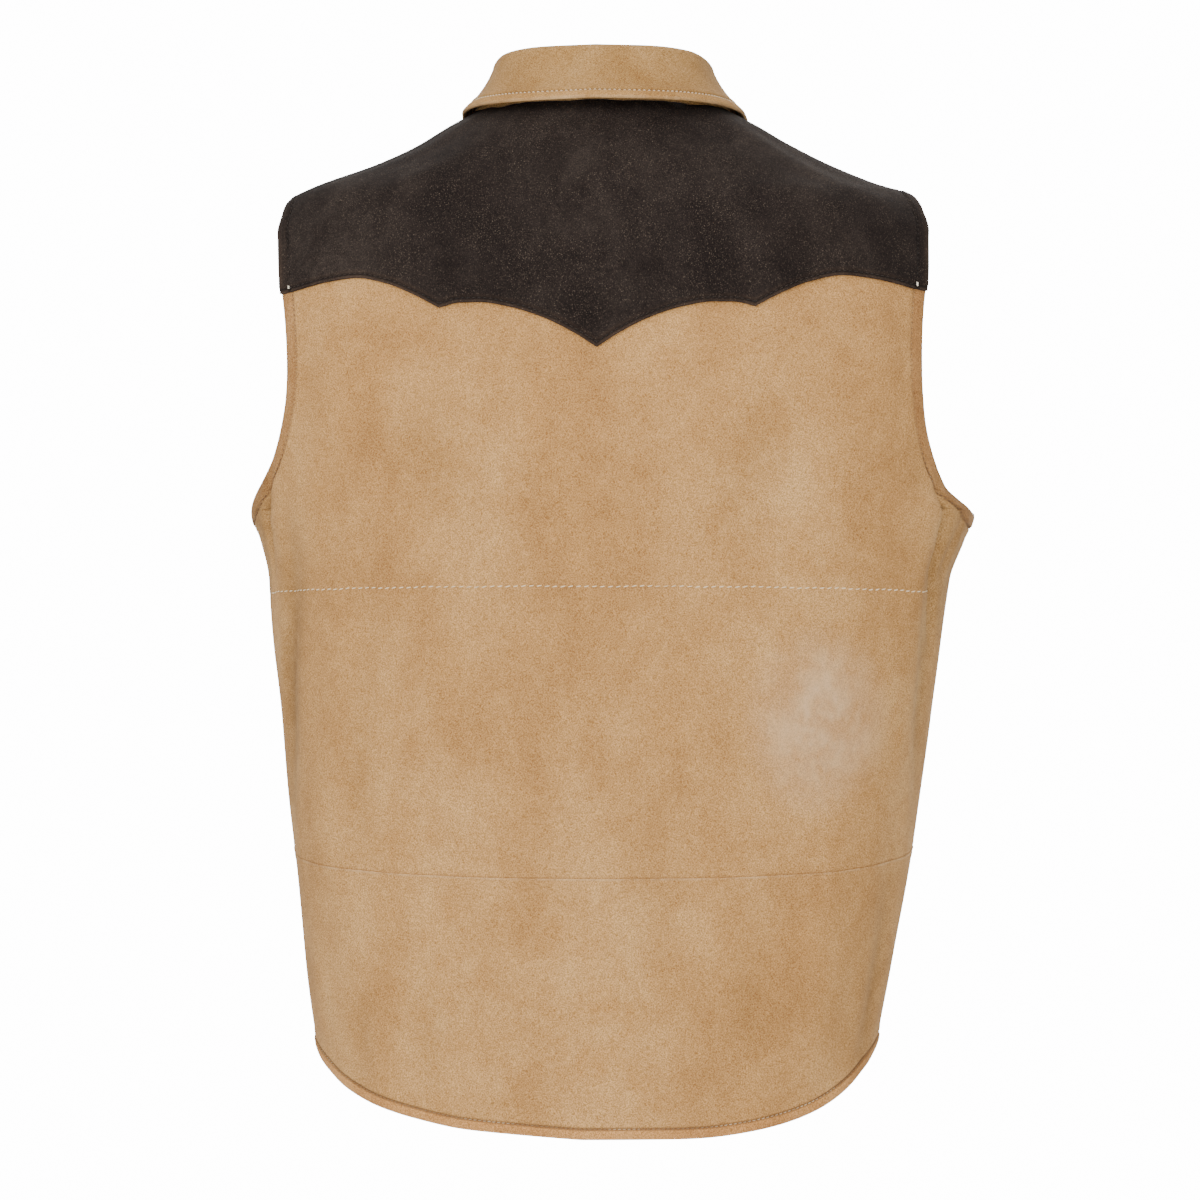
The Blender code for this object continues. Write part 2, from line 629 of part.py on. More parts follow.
def build_vest():
    """Clears the scene, then builds every piece of the vest."""
    for old in list(bpy.data.objects):
        bpy.data.objects.remove(old, do_unlink=True)
    bpy.context.scene.collection.children.link(bpy.data.collections.new(COLLECTION))
    tan, dark = suede("tan_suede", TAN_SUEDE), suede("dark_suede", DARK_SUEDE)
    metal = suede("snap_metal", SNAP_METAL)
    build_yoke(dark)
    build_back_upper(tan)
    build_back_panel("back_middle", MIDDLE_ROWS, above(waist_seam), below(chest_seam), tan)
    build_back_panel("back_lower", LOWER_ROWS, hem_height, below(waist_seam), tan)
    build_front("front_left", True, tan)
    build_front("front_right", False, tan)
    build_collar(tan)
    for number, height in enumerate(np.linspace(SNAP_TOP, SNAP_BOTTOM, SNAP_COUNT), start=1):
        build_snap(f"snap_{number}", height, metal)


build_vest()
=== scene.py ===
# %% [markdown]
# # A western vest in suede
#
# This lesson dresses a plain CAD vest. The vest is filled out as if worn and seen from behind: tan
# suede panels, a dark scalloped yoke over the shoulders, a turned-down collar, a shirt-tail hem and
# a row of snaps on the hidden front.
#
# The CAD solids hold the sizes. Each panel here is a new, finer sheet on the same body form, with
# its folds, rolled edges, seams and every stitch. All lengths are metres, +Z is up, the wearer
# faces -Y and the wearer's left is +X.

# %% Load the fixed frame
import math
from collections import namedtuple

import bpy
import numpy as np
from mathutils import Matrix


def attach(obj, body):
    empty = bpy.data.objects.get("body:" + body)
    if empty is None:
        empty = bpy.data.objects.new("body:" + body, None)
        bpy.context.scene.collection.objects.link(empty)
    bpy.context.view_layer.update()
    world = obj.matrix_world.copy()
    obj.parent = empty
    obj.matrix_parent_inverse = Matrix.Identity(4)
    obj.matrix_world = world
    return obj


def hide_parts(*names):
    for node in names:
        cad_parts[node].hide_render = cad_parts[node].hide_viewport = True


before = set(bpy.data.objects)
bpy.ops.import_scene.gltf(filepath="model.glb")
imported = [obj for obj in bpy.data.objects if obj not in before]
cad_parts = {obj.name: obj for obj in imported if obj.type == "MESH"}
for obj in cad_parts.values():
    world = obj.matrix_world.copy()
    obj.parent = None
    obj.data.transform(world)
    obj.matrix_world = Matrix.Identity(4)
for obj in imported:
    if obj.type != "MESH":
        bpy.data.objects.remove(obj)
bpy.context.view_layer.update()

# %% [markdown]
# ## The body form
#
# Cloth on a body has no straight edges to measure from. It could be sculpted or simulated, but the
# panels then drift apart at their seams. Here one formula gives the whole body, and each panel is a
# patch of it, so two panels that name the same edge meet exactly.
#
# A place is an angle round the body (0 at the wearer's left side, 90 degrees at the back) and a
# height. At each height the body is a rounded oblong whose sizes are smooth curves through a table.

# %% Sizes along the body
def table(columns, rows):
    """A table: rows of numbers under named columns."""
    row_of = namedtuple("Row", columns)
    return [row_of(*row) for row in rows]


SECTIONS = table("height half_width back_depth front_depth squareness flare lean", [
    (0.012, 0.064, 0.062, 0.04, 2, 0, 0),
    (0, 0.086, 0.07, 0.044, 2, 0, 0),
    (-0.008, 0.101, 0.0755, 0.0475, 2, 0, 0),
    (-0.021, 0.1225, 0.083, 0.052, 2, 0, 0),
    (-0.034, 0.149, 0.089, 0.057, 2.05, 0, 0.002),
    (-0.0475, 0.1845, 0.095, 0.063, 2.1, 0, 0.006),
    (-0.054, 0.201, 0.098, 0.066, 2.15, 0, 0.003),
    (-0.065, 0.2155, 0.1025, 0.073, 2.2, 0, -0.0016),
    (-0.08, 0.2255, 0.108, 0.083, 2.3, 0, -0.0034),
    (-0.12, 0.2332, 0.118, 0.104, 2.4, 0, -0.0048),
    (-0.17, 0.2312, 0.127, 0.12, 2.45, 0, -0.0062),
    (-0.215, 0.2275, 0.132, 0.129, 2.45, 0.0035, -0.0052),
    (-0.245, 0.2255, 0.134, 0.133, 2.45, 0.0075, -0.005),
    (-0.2615, 0.2245, 0.1345, 0.134, 2.45, 0.013, -0.0055),
    (-0.2785, 0.2235, 0.1345, 0.1345, 2.43, 0.0085, -0.0055),
    (-0.305, 0.2218, 0.134, 0.135, 2.42, 0.0022, -0.0045),
    (-0.3445, 0.218, 0.1325, 0.1345, 2.4, 0.0015, -0.003),
    (-0.397, 0.213, 0.1295, 0.132, 2.4, 0, -0.0015),
    (-0.45, 0.2075, 0.126, 0.129, 2.4, 0, 0),
    (-0.503, 0.201, 0.1225, 0.1255, 2.4, 0, 0.001),
    (-0.556, 0.1935, 0.119, 0.122, 2.4, 0, 0.0025),
    (-0.6085, 0.1845, 0.115, 0.118, 2.4, 0, 0.004),
    (-0.68, 0.1745, 0.111, 0.113, 2.4, 0, 0.004),
])
FLARE_FOCUS = 6
UNEVEN_HEIGHTS = [-0.300, -0.262, -0.245, -0.215, -0.190]
UNEVEN_FLARE = [0.0, -0.0008, 0.0040, 0.0016, 0.0]
BACK, FRONT = math.pi / 2, -math.pi / 2


def curve_through(places, values):
    """A smooth curve that passes every point and never overshoots between two of them.

    Each slope is the harmonic mean of the chords beside it, or 0 where they turn back.
    """
    places, values = np.asarray(places, float), np.asarray(values, float)
    widths = np.diff(places)
    chords = np.diff(values) / widths
    same_way = chords[:-1] * chords[1:] > 0
    sums = np.where(same_way, chords[:-1] + chords[1:], 1.0)
    inner = np.where(same_way, 2 * chords[:-1] * chords[1:] / sums, 0.0)
    slopes = np.concatenate([chords[:1], inner, chords[-1:]])

    def value(place):
        place = np.clip(place, places[0], places[-1])
        i = np.clip(np.searchsorted(places, place) - 1, 0, len(widths) - 1)
        t = (place - places[i]) / widths[i]
        start = (1 + 2 * t) * (1 - t) ** 2 * values[i] + t * (1 - t) ** 2 * widths[i] * slopes[i]
        end = t**2 * (3 - 2 * t) * values[i + 1] - t**2 * (1 - t) * widths[i] * slopes[i + 1]
        return start + end

    return value


def column_of(rows, name):
    """One column of a table as a smooth curve over the table's first column."""
    ordered = sorted(rows)
    return curve_through([row[0] for row in ordered], [getattr(row, name) for row in ordered])


half_width, back_depth, front_depth, squareness, flare, lean = (
    column_of(SECTIONS, name) for name in SECTIONS[0]._fields[1:]
)
uneven = curve_through(UNEVEN_HEIGHTS, UNEVEN_FLARE)


def bare_form(angle, height):
    """x = width * cos^p + flare * cos^6 + lean and y = depth * sin^p, with p = 2 / squareness.

    The left underarm flares a little more than the right one.
    """
    across, along = np.cos(angle), np.sin(angle)
    power = 2 / squareness(height)
    depth = np.where(along > 0, back_depth(height), front_depth(height))
    flared = flare(height) + uneven(height) * np.sign(across)
    x = half_width(height) * np.abs(across) ** power + flared * np.abs(across) ** FLARE_FOCUS
    x = x * np.sign(across) + lean(height)
    y = depth * np.sign(along) * np.abs(along) ** power
    return np.stack([x, y, height + 0 * angle], axis=-1)


def unit(vectors):
    """The same directions, each one metre long."""
    return vectors / np.maximum(np.linalg.norm(vectors, axis=-1, keepdims=True), 1e-12)


def outward(angle, height):
    """Unit vector straight out of the body: the cross product of its slopes round and up."""
    step = 1e-3
    round_body = bare_form(angle + step, height) - bare_form(angle - step, height)
    up_body = bare_form(angle, height + step) - bare_form(angle, height - step)
    return unit(np.cross(round_body, up_body))


def wrapped(angle):
    """The same angle, from -180 degrees at the wearer's right side round to +180."""
    return (angle + math.pi) % (2 * math.pi) - math.pi


def mirrored(angle):
    """The angle of the same place on the wearer's other side."""
    return math.pi - angle


print("body form:", len(SECTIONS), "sections")

# %% [markdown]
# ## Folds
#
# Suede is thick, so it bends in a few broad folds and leaves the rest almost flat. A cloth
# simulation would give soft wrinkles in places of its own choosing. The photo shows where each fold
# is, so every fold is a row of a table: a line from one place to another, a depth (negative is a
# trough) and a breadth. The lift along it is depth * exp(-(distance / breadth)^2), faded at both
# ends by a sine. The first rows are the broad folds of the CAD form. The others are the narrow
# creases beside the underarms and the faint ripples that show in raking light.

# %% Folds and creases
FOLD_COLUMNS = "top_angle top_height bottom_angle bottom_height depth breadth"
FOLDS = table(FOLD_COLUMNS, [
    (32, -0.235, 12, -0.5, -0.0045, 0.016),
    (46, -0.3, 34, -0.56, 0.0022, 0.02),
    (156, -0.245, 173, -0.48, -0.0038, 0.014),
    (160, -0.47, 163, -0.66, -0.003, 0.014),
    (133, -0.38, 140, -0.64, 0.002, 0.022),
    (62, -0.16, 72, -0.29, -0.0014, 0.02),
    (116, -0.17, 108, -0.3, -0.0014, 0.018),
    (-34, -0.21, -14, -0.5, -0.0045, 0.017),
    (-148, -0.215, -165, -0.47, -0.0042, 0.016),
    (-52, -0.33, -44, -0.64, 0.0024, 0.022),
    (-124, -0.36, -136, -0.63, 0.0022, 0.02),
])
CREASES = table(FOLD_COLUMNS, [
    (25, -0.22, 14.5, -0.314, -0.0046, 0.0032),
    (29, -0.228, 20, -0.335, 0.0014, 0.006),
    (157.5, -0.23, 161.5, -0.314, -0.0048, 0.0034),
    (160, -0.285, 168.5, -0.358, -0.004, 0.004),
    (152, -0.238, 158.5, -0.365, 0.0018, 0.007),
    (168, -0.25, 166, -0.32, -0.0026, 0.005),
    (24, -0.3, 10, -0.42, 0.001, 0.009),
    (-17, -0.225, -14, -0.34, -0.0036, 0.0046),
    (-22, -0.245, -19, -0.35, 0.0012, 0.0075),
    (-158, -0.225, -161, -0.35, -0.0034, 0.0044),
    (-152, -0.24, -155, -0.36, 0.0013, 0.008),
    (52, -0.33, 45, -0.52, -0.0011, 0.011),
    (74, -0.36, 71, -0.56, 0.0008, 0.016),
    (84, -0.18, 88, -0.3, 0.0006, 0.013),
    (101, -0.4, 98, -0.64, -0.0008, 0.015),
    (118, -0.52, 122, -0.65, -0.0011, 0.011),
    (63, -0.54, 60, -0.655, -0.0012, 0.01),
    (76, -0.59, 78, -0.66, 0.0009, 0.009),
    (45, -0.56, 40, -0.64, -0.0011, 0.009),
    (-70, -0.3, -66, -0.52, -0.001, 0.014),
    (-112, -0.28, -116, -0.5, -0.001, 0.013),
    (-58, -0.56, -62, -0.65, -0.0012, 0.01),
    (-121, -0.55, -117, -0.648, -0.0011, 0.01),
])
FOLD_RADIUS = 0.155
TROUGH_FULL = 0.0045
SHADE_HEIGHTS = [-0.360, -0.310, -0.245, -0.220]
SHADE_LEFT, SHADE_RIGHT = [4.0, 12.5, 22.5, 25.0], [9.0, 18.5, 22.5, 23.5]
RIPPLES = table("times_round per_metre_up phase height", [
    (7, 3.1, 0.7, 0.0004),
    (12, -2.3, 2.1, 0.00034),
    (19, 4.7, 4, 0.00022),
    (5, 9, 1.3, 0.00026),
    (27, -6.5, 5.2, 0.00013),
])


def ease(value):
    """Smooth step from 0 to 1: 3 v^2 - 2 v^3."""
    value = np.clip(value, 0, 1)
    return value * value * (3 - 2 * value)


def bands(folds, angle, height):
    """Sum of the folds' soft bands: depth * exp(-(aside / breadth)^2) * sin(pi * share)^1.5."""
    lift = np.zeros(np.broadcast(angle, height).shape)
    for fold in folds:
        share = np.clip((height - fold.top_height) / (fold.bottom_height - fold.top_height), 0, 1)
        line = np.radians(fold.top_angle + (fold.bottom_angle - fold.top_angle) * share)
        aside = (angle - line) * FOLD_RADIUS / fold.breadth
        lift += fold.depth * np.exp(-(aside**2)) * np.sin(math.pi * share) ** 1.5
    return lift


def fold_lift(angle, height):
    """Sum of every fold's soft band, and of a few slow waves that run round and up the body."""
    lift = bands(FOLDS + CREASES, angle, height)
    for wave in RIPPLES:
        turn = wave.times_round * angle + 2 * math.pi * wave.per_metre_up * height + wave.phase
        lift += wave.height * np.sin(turn)
    return lift


def underarm_shade(angle, height):
    """1 on the strip beside the underarm, between its fold and the side line, and 0 elsewhere."""
    on_left = np.cos(angle) > 0
    from_side = np.degrees(np.abs(wrapped(np.where(on_left, angle, mirrored(angle)))))
    rows = -np.asarray(height)
    places = [-height for height in SHADE_HEIGHTS[::-1]]
    left, right = (np.interp(rows, places, side[::-1]) for side in (SHADE_LEFT, SHADE_RIGHT))
    fold = np.where(on_left, left, right)
    behind = ease((fold - from_side) / 1.6) * (1 - 0.5 * np.clip((fold - from_side) / fold, 0, 1))
    before = 0.4 * ease((24.0 - from_side) / 16.0)
    low, high = ease((height + 0.365) / 0.05), ease((-0.222 - height) / 0.012)
    return np.where(np.sin(angle) > 0, behind, before) * low * high


def shade_in_troughs(angle, height):
    """How much painted shade a place gets, from 0 to 1: deep in a fold's hollow, and beside the
    underarms.
    """
    troughs = [fold for fold in FOLDS + CREASES if fold.depth < 0]
    depth = np.clip(-bands(troughs, wrapped(angle), height) / TROUGH_FULL, 0, 1)
    depth = np.where(np.sin(angle) > 0, depth, 0.5 * depth)
    return np.maximum(depth, 0.85 * underarm_shade(wrapped(angle), height))


def on_form(angle, height, lift=0.0):
    """Points on the folded body: the bare form, moved straight out by the folds and the lift."""
    angle, height, lift = np.broadcast_arrays(np.asarray(angle, float), height, lift)
    out = lift + fold_lift(wrapped(angle), height)
    return bare_form(angle, height) + outward(angle, height) * out[..., None]


print("folds:", len(FOLDS), "broad,", len(CREASES), "narrow,", len(RIPPLES), "slow waves")

# %% [markdown]
# ## Edges that panels share
#
# A pattern cutter draws each edge once and cuts two pieces to it. The same is done here: the
# armhole, the scallop, the neck, the hem and the two cross seams are functions of an angle or a
# height, and the panels on both sides call the same one.

# %% The cutting lines
SHOULDER_TIP = -0.0565
UNDERARM = -0.2615
YOKE_CORNER = -0.1195
CHEST_SEAM, CHEST_SEAM_SIDE = -0.3100, -0.3150
WAIST_SEAM, WAIST_SEAM_SIDE = -0.4950, -0.4790
HEM_BACK, HEM_FRONT, HEM_SIDE, HEM_TILT = -0.6620, -0.6560, -0.6080, 0.0068
NECK_HALF_WIDTH, NECK_BACK_DEPTH, NECK_FRONT_DEPTH = 0.0800, 0.0655, 0.0680
ARMHOLE_BACK_REACH, ARMHOLE_FRONT_REACH = 0.0720, 0.0800
ARMHOLE_FULLNESS, ARMHOLE_DROOP, ARMHOLE_WIDEST = 0.75, 0.12, -0.150
YOKE_FRONT_ANGLE = math.radians(-29.0)
FRONT_DIP = 0.040
LAP = 0.008
HEM_ANGLES = [0, 8, 16, 28, 39, 55, 68, 90]
HEM_RISE = [1.00, 0.92, 0.79, 0.56, 0.38, 0.19, 0.08, 0.00]
INNER_LOBE = table("out height", [
    (0, -0.1575),
    (0.015, -0.148),
    (0.034, -0.1385),
    (0.056, -0.1315),
    (0.075, -0.1285),
    (0.087, -0.1285),
    (0.101, -0.1315),
])
OUTER_LOBE = table("out height", [
    (0.101, -0.1315),
    (0.117, -0.123),
    (0.136, -0.115),
    (0.156, -0.111),
    (0.176, -0.113),
    (0.193, -0.1165),
    (0.206, -0.1195),
])

hem_rise = curve_through(HEM_ANGLES, HEM_RISE)


def angle_at(y, height):
    """Angle on the wearer's left side at which the form is y deep."""
    depth = np.where(y > 0, back_depth(height), front_depth(height))
    return np.sign(y) * np.arcsin(np.clip(np.abs(y) / depth, 0, 1) ** (squareness(height) / 2))


def angle_beside(middle, x, height):
    """Angle near the middle of the back or front at which the form is x away from the middle."""
    turn = np.arcsin(np.clip(np.abs(x) / half_width(height), 0, 1) ** (squareness(height) / 2))
    return middle + np.sign(x) * turn * (1 if middle == FRONT else -1)


def armhole_angle(height, reach):
    """Armhole edge: an oval seen from the side, fuller than an ellipse and widest below its middle."""
    middle, half = (SHOULDER_TIP + UNDERARM) / 2, (SHOULDER_TIP - UNDERARM) / 2
    down = np.clip((middle - height) / half, -1, 1)
    y = reach * (1 - down**2) ** (ARMHOLE_FULLNESS / 2) * (1 + ARMHOLE_DROOP * down)
    return angle_at(y, height)


def top_of_armhole(angle, reach):
    """Height at which the armhole's upper arc passes an angle."""
    heights = np.linspace(ARMHOLE_WIDEST, SHOULDER_TIP, 2000)
    angles = np.abs(armhole_angle(heights, reach))
    return np.interp(-np.abs(angle), -angles, heights)


def hem_height(angle):
    """Shirt-tail hem: highest at the sides, lowest at the middles, and lower on the back's right."""
    from_side = np.minimum(np.abs(wrapped(angle)), np.abs(wrapped(angle - math.pi)))
    lowest = np.where(np.sin(angle) > 0, HEM_BACK, HEM_FRONT)
    tilt = HEM_TILT * np.cos(angle) * (1 - 0.67 * np.cos(angle)) * np.clip(np.sin(angle), 0, 1)
    return lowest + (HEM_SIDE - lowest) * hem_rise(np.degrees(from_side)) + tilt


def chest_seam(angle):
    """Upper cross seam of the back, a little lower at the sides."""
    return CHEST_SEAM_SIDE + (CHEST_SEAM - CHEST_SEAM_SIDE) * np.abs(np.sin(angle)) ** 1.1


def waist_seam(angle):
    """Lower cross seam of the back, which sags in the middle."""
    return WAIST_SEAM_SIDE + (WAIST_SEAM - WAIST_SEAM_SIDE) * np.abs(np.sin(angle)) ** 0.7


def neck_edge_table():
    """(angles, heights) of the neck hole: an oval from above, dropped onto the form by halving."""
    turn = np.radians(np.linspace(-90, 90, 181))
    x = NECK_HALF_WIDTH * np.cos(turn)
    y = np.where(turn > 0, NECK_BACK_DEPTH, NECK_FRONT_DEPTH) * np.sin(turn)
    low, high = np.full_like(x, -0.10), np.full_like(x, SECTIONS[0].height)
    for _ in range(40):
        height = (low + high) / 2
        depth = np.where(y > 0, back_depth(height), front_depth(height))
        power = squareness(height)
        inside = (x / half_width(height)) ** power + (np.abs(y) / depth) ** power < 1
        low, high = np.where(inside, height, low), np.where(inside, high, height)
    return np.where(np.abs(turn) > 1.57, turn, angle_at(y, height)), height


NECK_ANGLES, NECK_HEIGHTS = neck_edge_table()


def neck_height(angle):
    """Height of the neck edge at an angle, the same on both sides."""
    near = np.where(np.cos(angle) < 0, mirrored(angle), angle)
    return np.interp(wrapped(near), NECK_ANGLES, NECK_HEIGHTS)


FRONT_CORNER = float(top_of_armhole(YOKE_FRONT_ANGLE, -ARMHOLE_FRONT_REACH))
print("yoke's front corner at height", round(FRONT_CORNER, 4))

# %% [markdown]
# ## From a patch to a sheet of suede
#
# A panel is a grid of places, close together at its edges, where the cloth is folded and stitched,
# and 3 mm apart elsewhere. Equal steps of angle aren't equal steps of cloth, so the steps are
# spaced by measured length.
#
# What an edge does to the cloth depends only on how far each point is from it. So the true distance
# to each edge is measured first, and short formulas of that distance roll the edge, thicken a
# turned band, press a groove along the stitches and dip the seam. The two faces and the rim are
# then one closed sheet.

# %% Grids and distances
SUEDE_WALL, YOKE_WALL = 0.0018, 0.0016
SEAM_CLEARANCE = -0.00003
YOKE_LIFT = YOKE_WALL + 0.0003
FIELD_STEP = 0.003
EDGE_STEPS = np.array(
    [0, 0.12, 0.3, 0.6, 1.0, 1.6, 2.4, 3.4, 4.4, 5.2, 5.8, 6.4, 7.0, 7.6, 8.4, 8.9, 9.4, 10.0, 10.8, 12]
) / 1000
BAND_WIDTH = 0.0068
YOKE_STITCH_INSET = 0.0025


def shares_along(length):
    """Shares from 0 to 1 of a length: close at both ends, then one every 3 mm."""
    margin = EDGE_STEPS[-1]
    inner = np.linspace(margin, length - margin, max(2, round((length - 2 * margin) / FIELD_STEP)) + 1)
    return np.concatenate([EDGE_STEPS, inner[1:-1], (length - EDGE_STEPS)[::-1]]) / length


def lengths_along(line):
    """Distance travelled along a line of points, from 0 at its first one."""
    return np.concatenate([[0], np.cumsum(np.linalg.norm(np.diff(line, axis=0), axis=1))])


def evened(angles, heights, shares):
    """Places at these shares of a line's measured length. The line is given by close places."""
    travelled = lengths_along(bare_form(angles, heights))
    wanted = shares * travelled[-1]
    return np.interp(wanted, travelled, angles), np.interp(wanted, travelled, heights)


def distance_to(points, line):
    """Least distance from each point of a grid to a line: to each of its segments, then the least."""
    flat = points.reshape(-1, 1, 3).astype(np.float32)
    start, step = line[:-1].astype(np.float32), np.diff(line, axis=0).astype(np.float32)
    squared = np.maximum((step**2).sum(-1), 1e-14)
    along = np.clip(((flat - start) * step).sum(-1) / squared, 0, 1)
    nearest = start + step * along[..., None]
    return np.linalg.norm(flat - nearest, axis=-1).min(axis=1).reshape(points.shape[:2])


def bump(distance, middle, reach):
    """Bell curve of a distance, 1 at the middle: exp(-((d - middle) / reach)^2)."""
    return np.exp(-(((distance - middle) / reach) ** 2))


# %% Edge shapes
Treatment = namedtuple("Treatment", "band groove groove_at dip roll crown")
TURNED = Treatment(0.0011, 0.00090, BAND_WIDTH, 0.0, 0.0026, 0.0004)
ARM_BAND_WIDTH, BAND_STEP = 0.0092, 0.0012
ARMHOLE = TURNED._replace(groove_at=ARM_BAND_WIDTH)
CUT = Treatment(0.0, 0.00045, YOKE_STITCH_INSET, 0.0, 0.0008, 0.0003)
STITCHED_SEAM = Treatment(0.0, 0.0, 0.0, 0.00030, 0.0, 0.0)
PLAIN_SEAM = Treatment(0.0, 0.0003, 0.0, 0.0006, 0.0, 0.00015)
RIDGE_SEAM = Treatment(0.0005, 0.0, 0.0016, 0.0002, 0.0, 0.0003)
HIDDEN = Treatment(0.0, 0.0, 0.0, 0.0, 0.0, 0.0)


def on_band(kind, distance):
    """1 on the turned band between an edge and its stitches, 0 beyond them, with a soft step."""
    return ease((kind.groove_at - distance) / BAND_STEP + 0.5)


def edge_relief(kind, distance):
    """How far an edge's treatment lifts the outside: band + crown - groove - dip."""
    band = kind.band * on_band(kind, distance)
    groove = kind.groove * bump(distance, kind.groove_at, 0.0007) if kind.groove else 0.0
    dip = kind.dip * np.exp(-distance / 0.0010)
    crown = kind.crown * bump(distance, kind.groove_at + 0.0026, 0.0021)
    return band + crown - groove - dip


def edge_rounding(kind, distance):
    """Share of the wall's half thickness left near a rolled edge: a quarter of an ellipse."""
    if not kind.roll:
        return np.ones_like(distance)
    return 0.12 + 0.88 * np.sqrt(1 - np.clip(1 - distance / kind.roll, 0, 1) ** 2)


# %% From grid to sheet
Edge = namedtuple("Edge", "line kind")


def new_piece(name, points, faces, material):
    """A smooth mesh at the origin, in one material."""
    mesh = bpy.data.meshes.new(name)
    mesh.from_pydata(points.reshape(-1, 3).tolist(), [], faces)
    mesh.materials.append(material)
    mesh.shade_smooth()
    piece = bpy.data.objects.new(name, mesh)
    bpy.context.scene.collection.objects.link(piece)
    return piece


def hand_over(piece, node=None):
    """Attaches a piece to the root and hides the CAD node that it stands for, if one is given."""
    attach(piece, "root")
    if node:
        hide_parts(node)


def border_of(grid):
    """The numbers of a grid's border, once round."""
    return np.concatenate([grid[0, :-1], grid[:-1, -1], grid[-1, :0:-1], grid[:0:-1, 0]])


def squares(grid):
    """Corner numbers of a grid's squares, turned so that they face outwards."""
    corners = [grid[:-1, :-1], grid[:-1, 1:], grid[1:, 1:], grid[1:, :-1]]
    return np.stack(corners, axis=-1).reshape(-1, 4)


def closed_sheet(name, outside, inside, facts, material):
    """One closed mesh: the outside grid, the inside grid turned over, and a rim round both.

    facts are values over the grid that the material reads, such as the distance to a stitch line.
    """
    rows, columns = outside.shape[:2]
    numbers = np.arange(rows * columns).reshape(rows, columns)
    ring = border_of(numbers)
    after = np.roll(ring, -1)
    rim = np.stack([after, ring, ring + rows * columns, after + rows * columns], axis=-1)
    faces = np.concatenate([squares(numbers), squares(numbers)[:, ::-1] + rows * columns, rim])
    piece = new_piece(name, np.stack([outside, inside]), faces.tolist(), material)
    for fact, values in facts.items():
        both = np.stack([values, values]).reshape(-1).astype(np.float32)
        piece.data.attributes.new(fact, "FLOAT", "POINT").data.foreach_set("value", both)
    return piece


def outside_area(outside):
    """Area of a grid of points: half the cross products of each square's diagonals."""
    first, second = outside[1:, 1:] - outside[:-1, :-1], outside[1:, :-1] - outside[:-1, 1:]
    return float(np.linalg.norm(np.cross(first, second), axis=-1).sum() / 2)


def panel(name, angle, height, lift, wall, edges, material):
    """A sheet of suede over a grid of places, shaped by what is done to each of its edges.

    outside = middle of the wall + rounding * (half the wall + relief); inside is the same without
    the relief, thicker under a turned band, where the cloth is folded over.
    """
    base = on_form(angle, height, lift - wall / 2)
    relief, rounding = np.zeros(angle.shape), np.ones(angle.shape)
    under, turned = np.zeros(angle.shape), np.zeros(angle.shape)
    edge_gap, stitch_gap, ridge_gap = (np.full(angle.shape, 1.0) for _ in range(3))
    for edge in edges:
        distance = distance_to(base, edge.line)
        relief += edge_relief(edge.kind, distance)
        rounding = np.minimum(rounding, edge_rounding(edge.kind, distance))
        if edge.kind.band:
            under += edge.kind.band * on_band(edge.kind, distance)
        if edge.kind.groove:
            stitch_gap = np.minimum(stitch_gap, np.abs(distance - edge.kind.groove_at))
        if edge.kind.roll:
            edge_gap = np.minimum(edge_gap, distance)
        if edge.kind.roll and edge.kind.band:
            turned = np.maximum(turned, on_band(edge.kind, distance))
        if edge.kind is RIDGE_SEAM:
            ridge_gap = distance
    way = outward(angle, height)
    outside = base + way * (rounding * (wall / 2 + relief))[..., None]
    inside = base - way * (rounding * (wall / 2 + under))[..., None]
    # trough holds the share of painted shade at each point.
    facts = {
        "edge_gap": edge_gap, "stitch_gap": stitch_gap, "ridge_gap": ridge_gap,
        "trough": shade_in_troughs(angle, height), "turned_band": turned,
    }
    piece = closed_sheet(name, outside, inside, facts, material)
    print(f"{name}: {outside.shape[:2]} points, {outside_area(outside):.4f} m2")
    return piece


print("edge steps (mm):", (EDGE_STEPS * 1000).tolist())

# %% [markdown]
# ## Suede, thread and metal
#
# Suede is the brushed inside of a hide. Its fibres lie this way and that, so it is cloudy at every
# scale: broad pale and dark areas where the nap was stroked, blotches a few centimetres wide, and a
# grain of single fibre tufts. A flat brown or one noise looks like felt board. Three effects are
# shared by the tan and the dark hide, so each is a node group with named sockets: `cloudy nap`,
# `fibre grain` and `wear, stitches and painted light`. The last one reads five values that every
# panel stores: how far a point is from a rolled edge, from a line of stitches and from a fold's
# ridge, how much painted shade it gets from the depth of a fold's hollow and from the strip beside
# an underarm, and whether it is on a turned band. From them it pales the nap along rolled edges,
# paints a highlight along the ridge of a seam, and paints shade in the hollows and beside the
# underarms.

# %% Node helpers
def feed(tree, socket, value):
    """Links another node's output to a socket, or sets the socket to a value."""
    if isinstance(value, bpy.types.NodeSocket):
        tree.links.new(value, socket)
    else:
        socket.default_value = value


def new_group(name, inputs, outputs):
    """A shader node group with float or colour sockets, and its two ends."""
    group = bpy.data.node_groups.new(name, "ShaderNodeTree")
    for socket, kind, value in inputs:
        made = group.interface.new_socket(socket, in_out="INPUT", socket_type=kind)
        if value is not None:
            made.default_value = value
    for socket, kind in outputs:
        group.interface.new_socket(socket, in_out="OUTPUT", socket_type=kind)
    return group, group.nodes.new("NodeGroupInput"), group.nodes.new("NodeGroupOutput")


def add_node(tree, kind, settings=None, **values):
    """A node with its settings, and its inputs set to numbers or linked to other nodes' outputs."""
    node = tree.nodes.new(kind)
    for key, value in (settings or {}).items():
        setattr(node, key, value)
    for key, value in values.items():
        feed(tree, node.inputs[int(key[2:]) if key.startswith("in") else key.replace("_", " ")], value)
    return node


def math_node(tree, operation, first, second):
    """The output of one arithmetic node."""
    return add_node(tree, "ShaderNodeMath", {"operation": operation}, in0=first, in1=second).outputs[0]


def product(tree, first, second):
    """Two values multiplied."""
    return math_node(tree, "MULTIPLY", first, second)


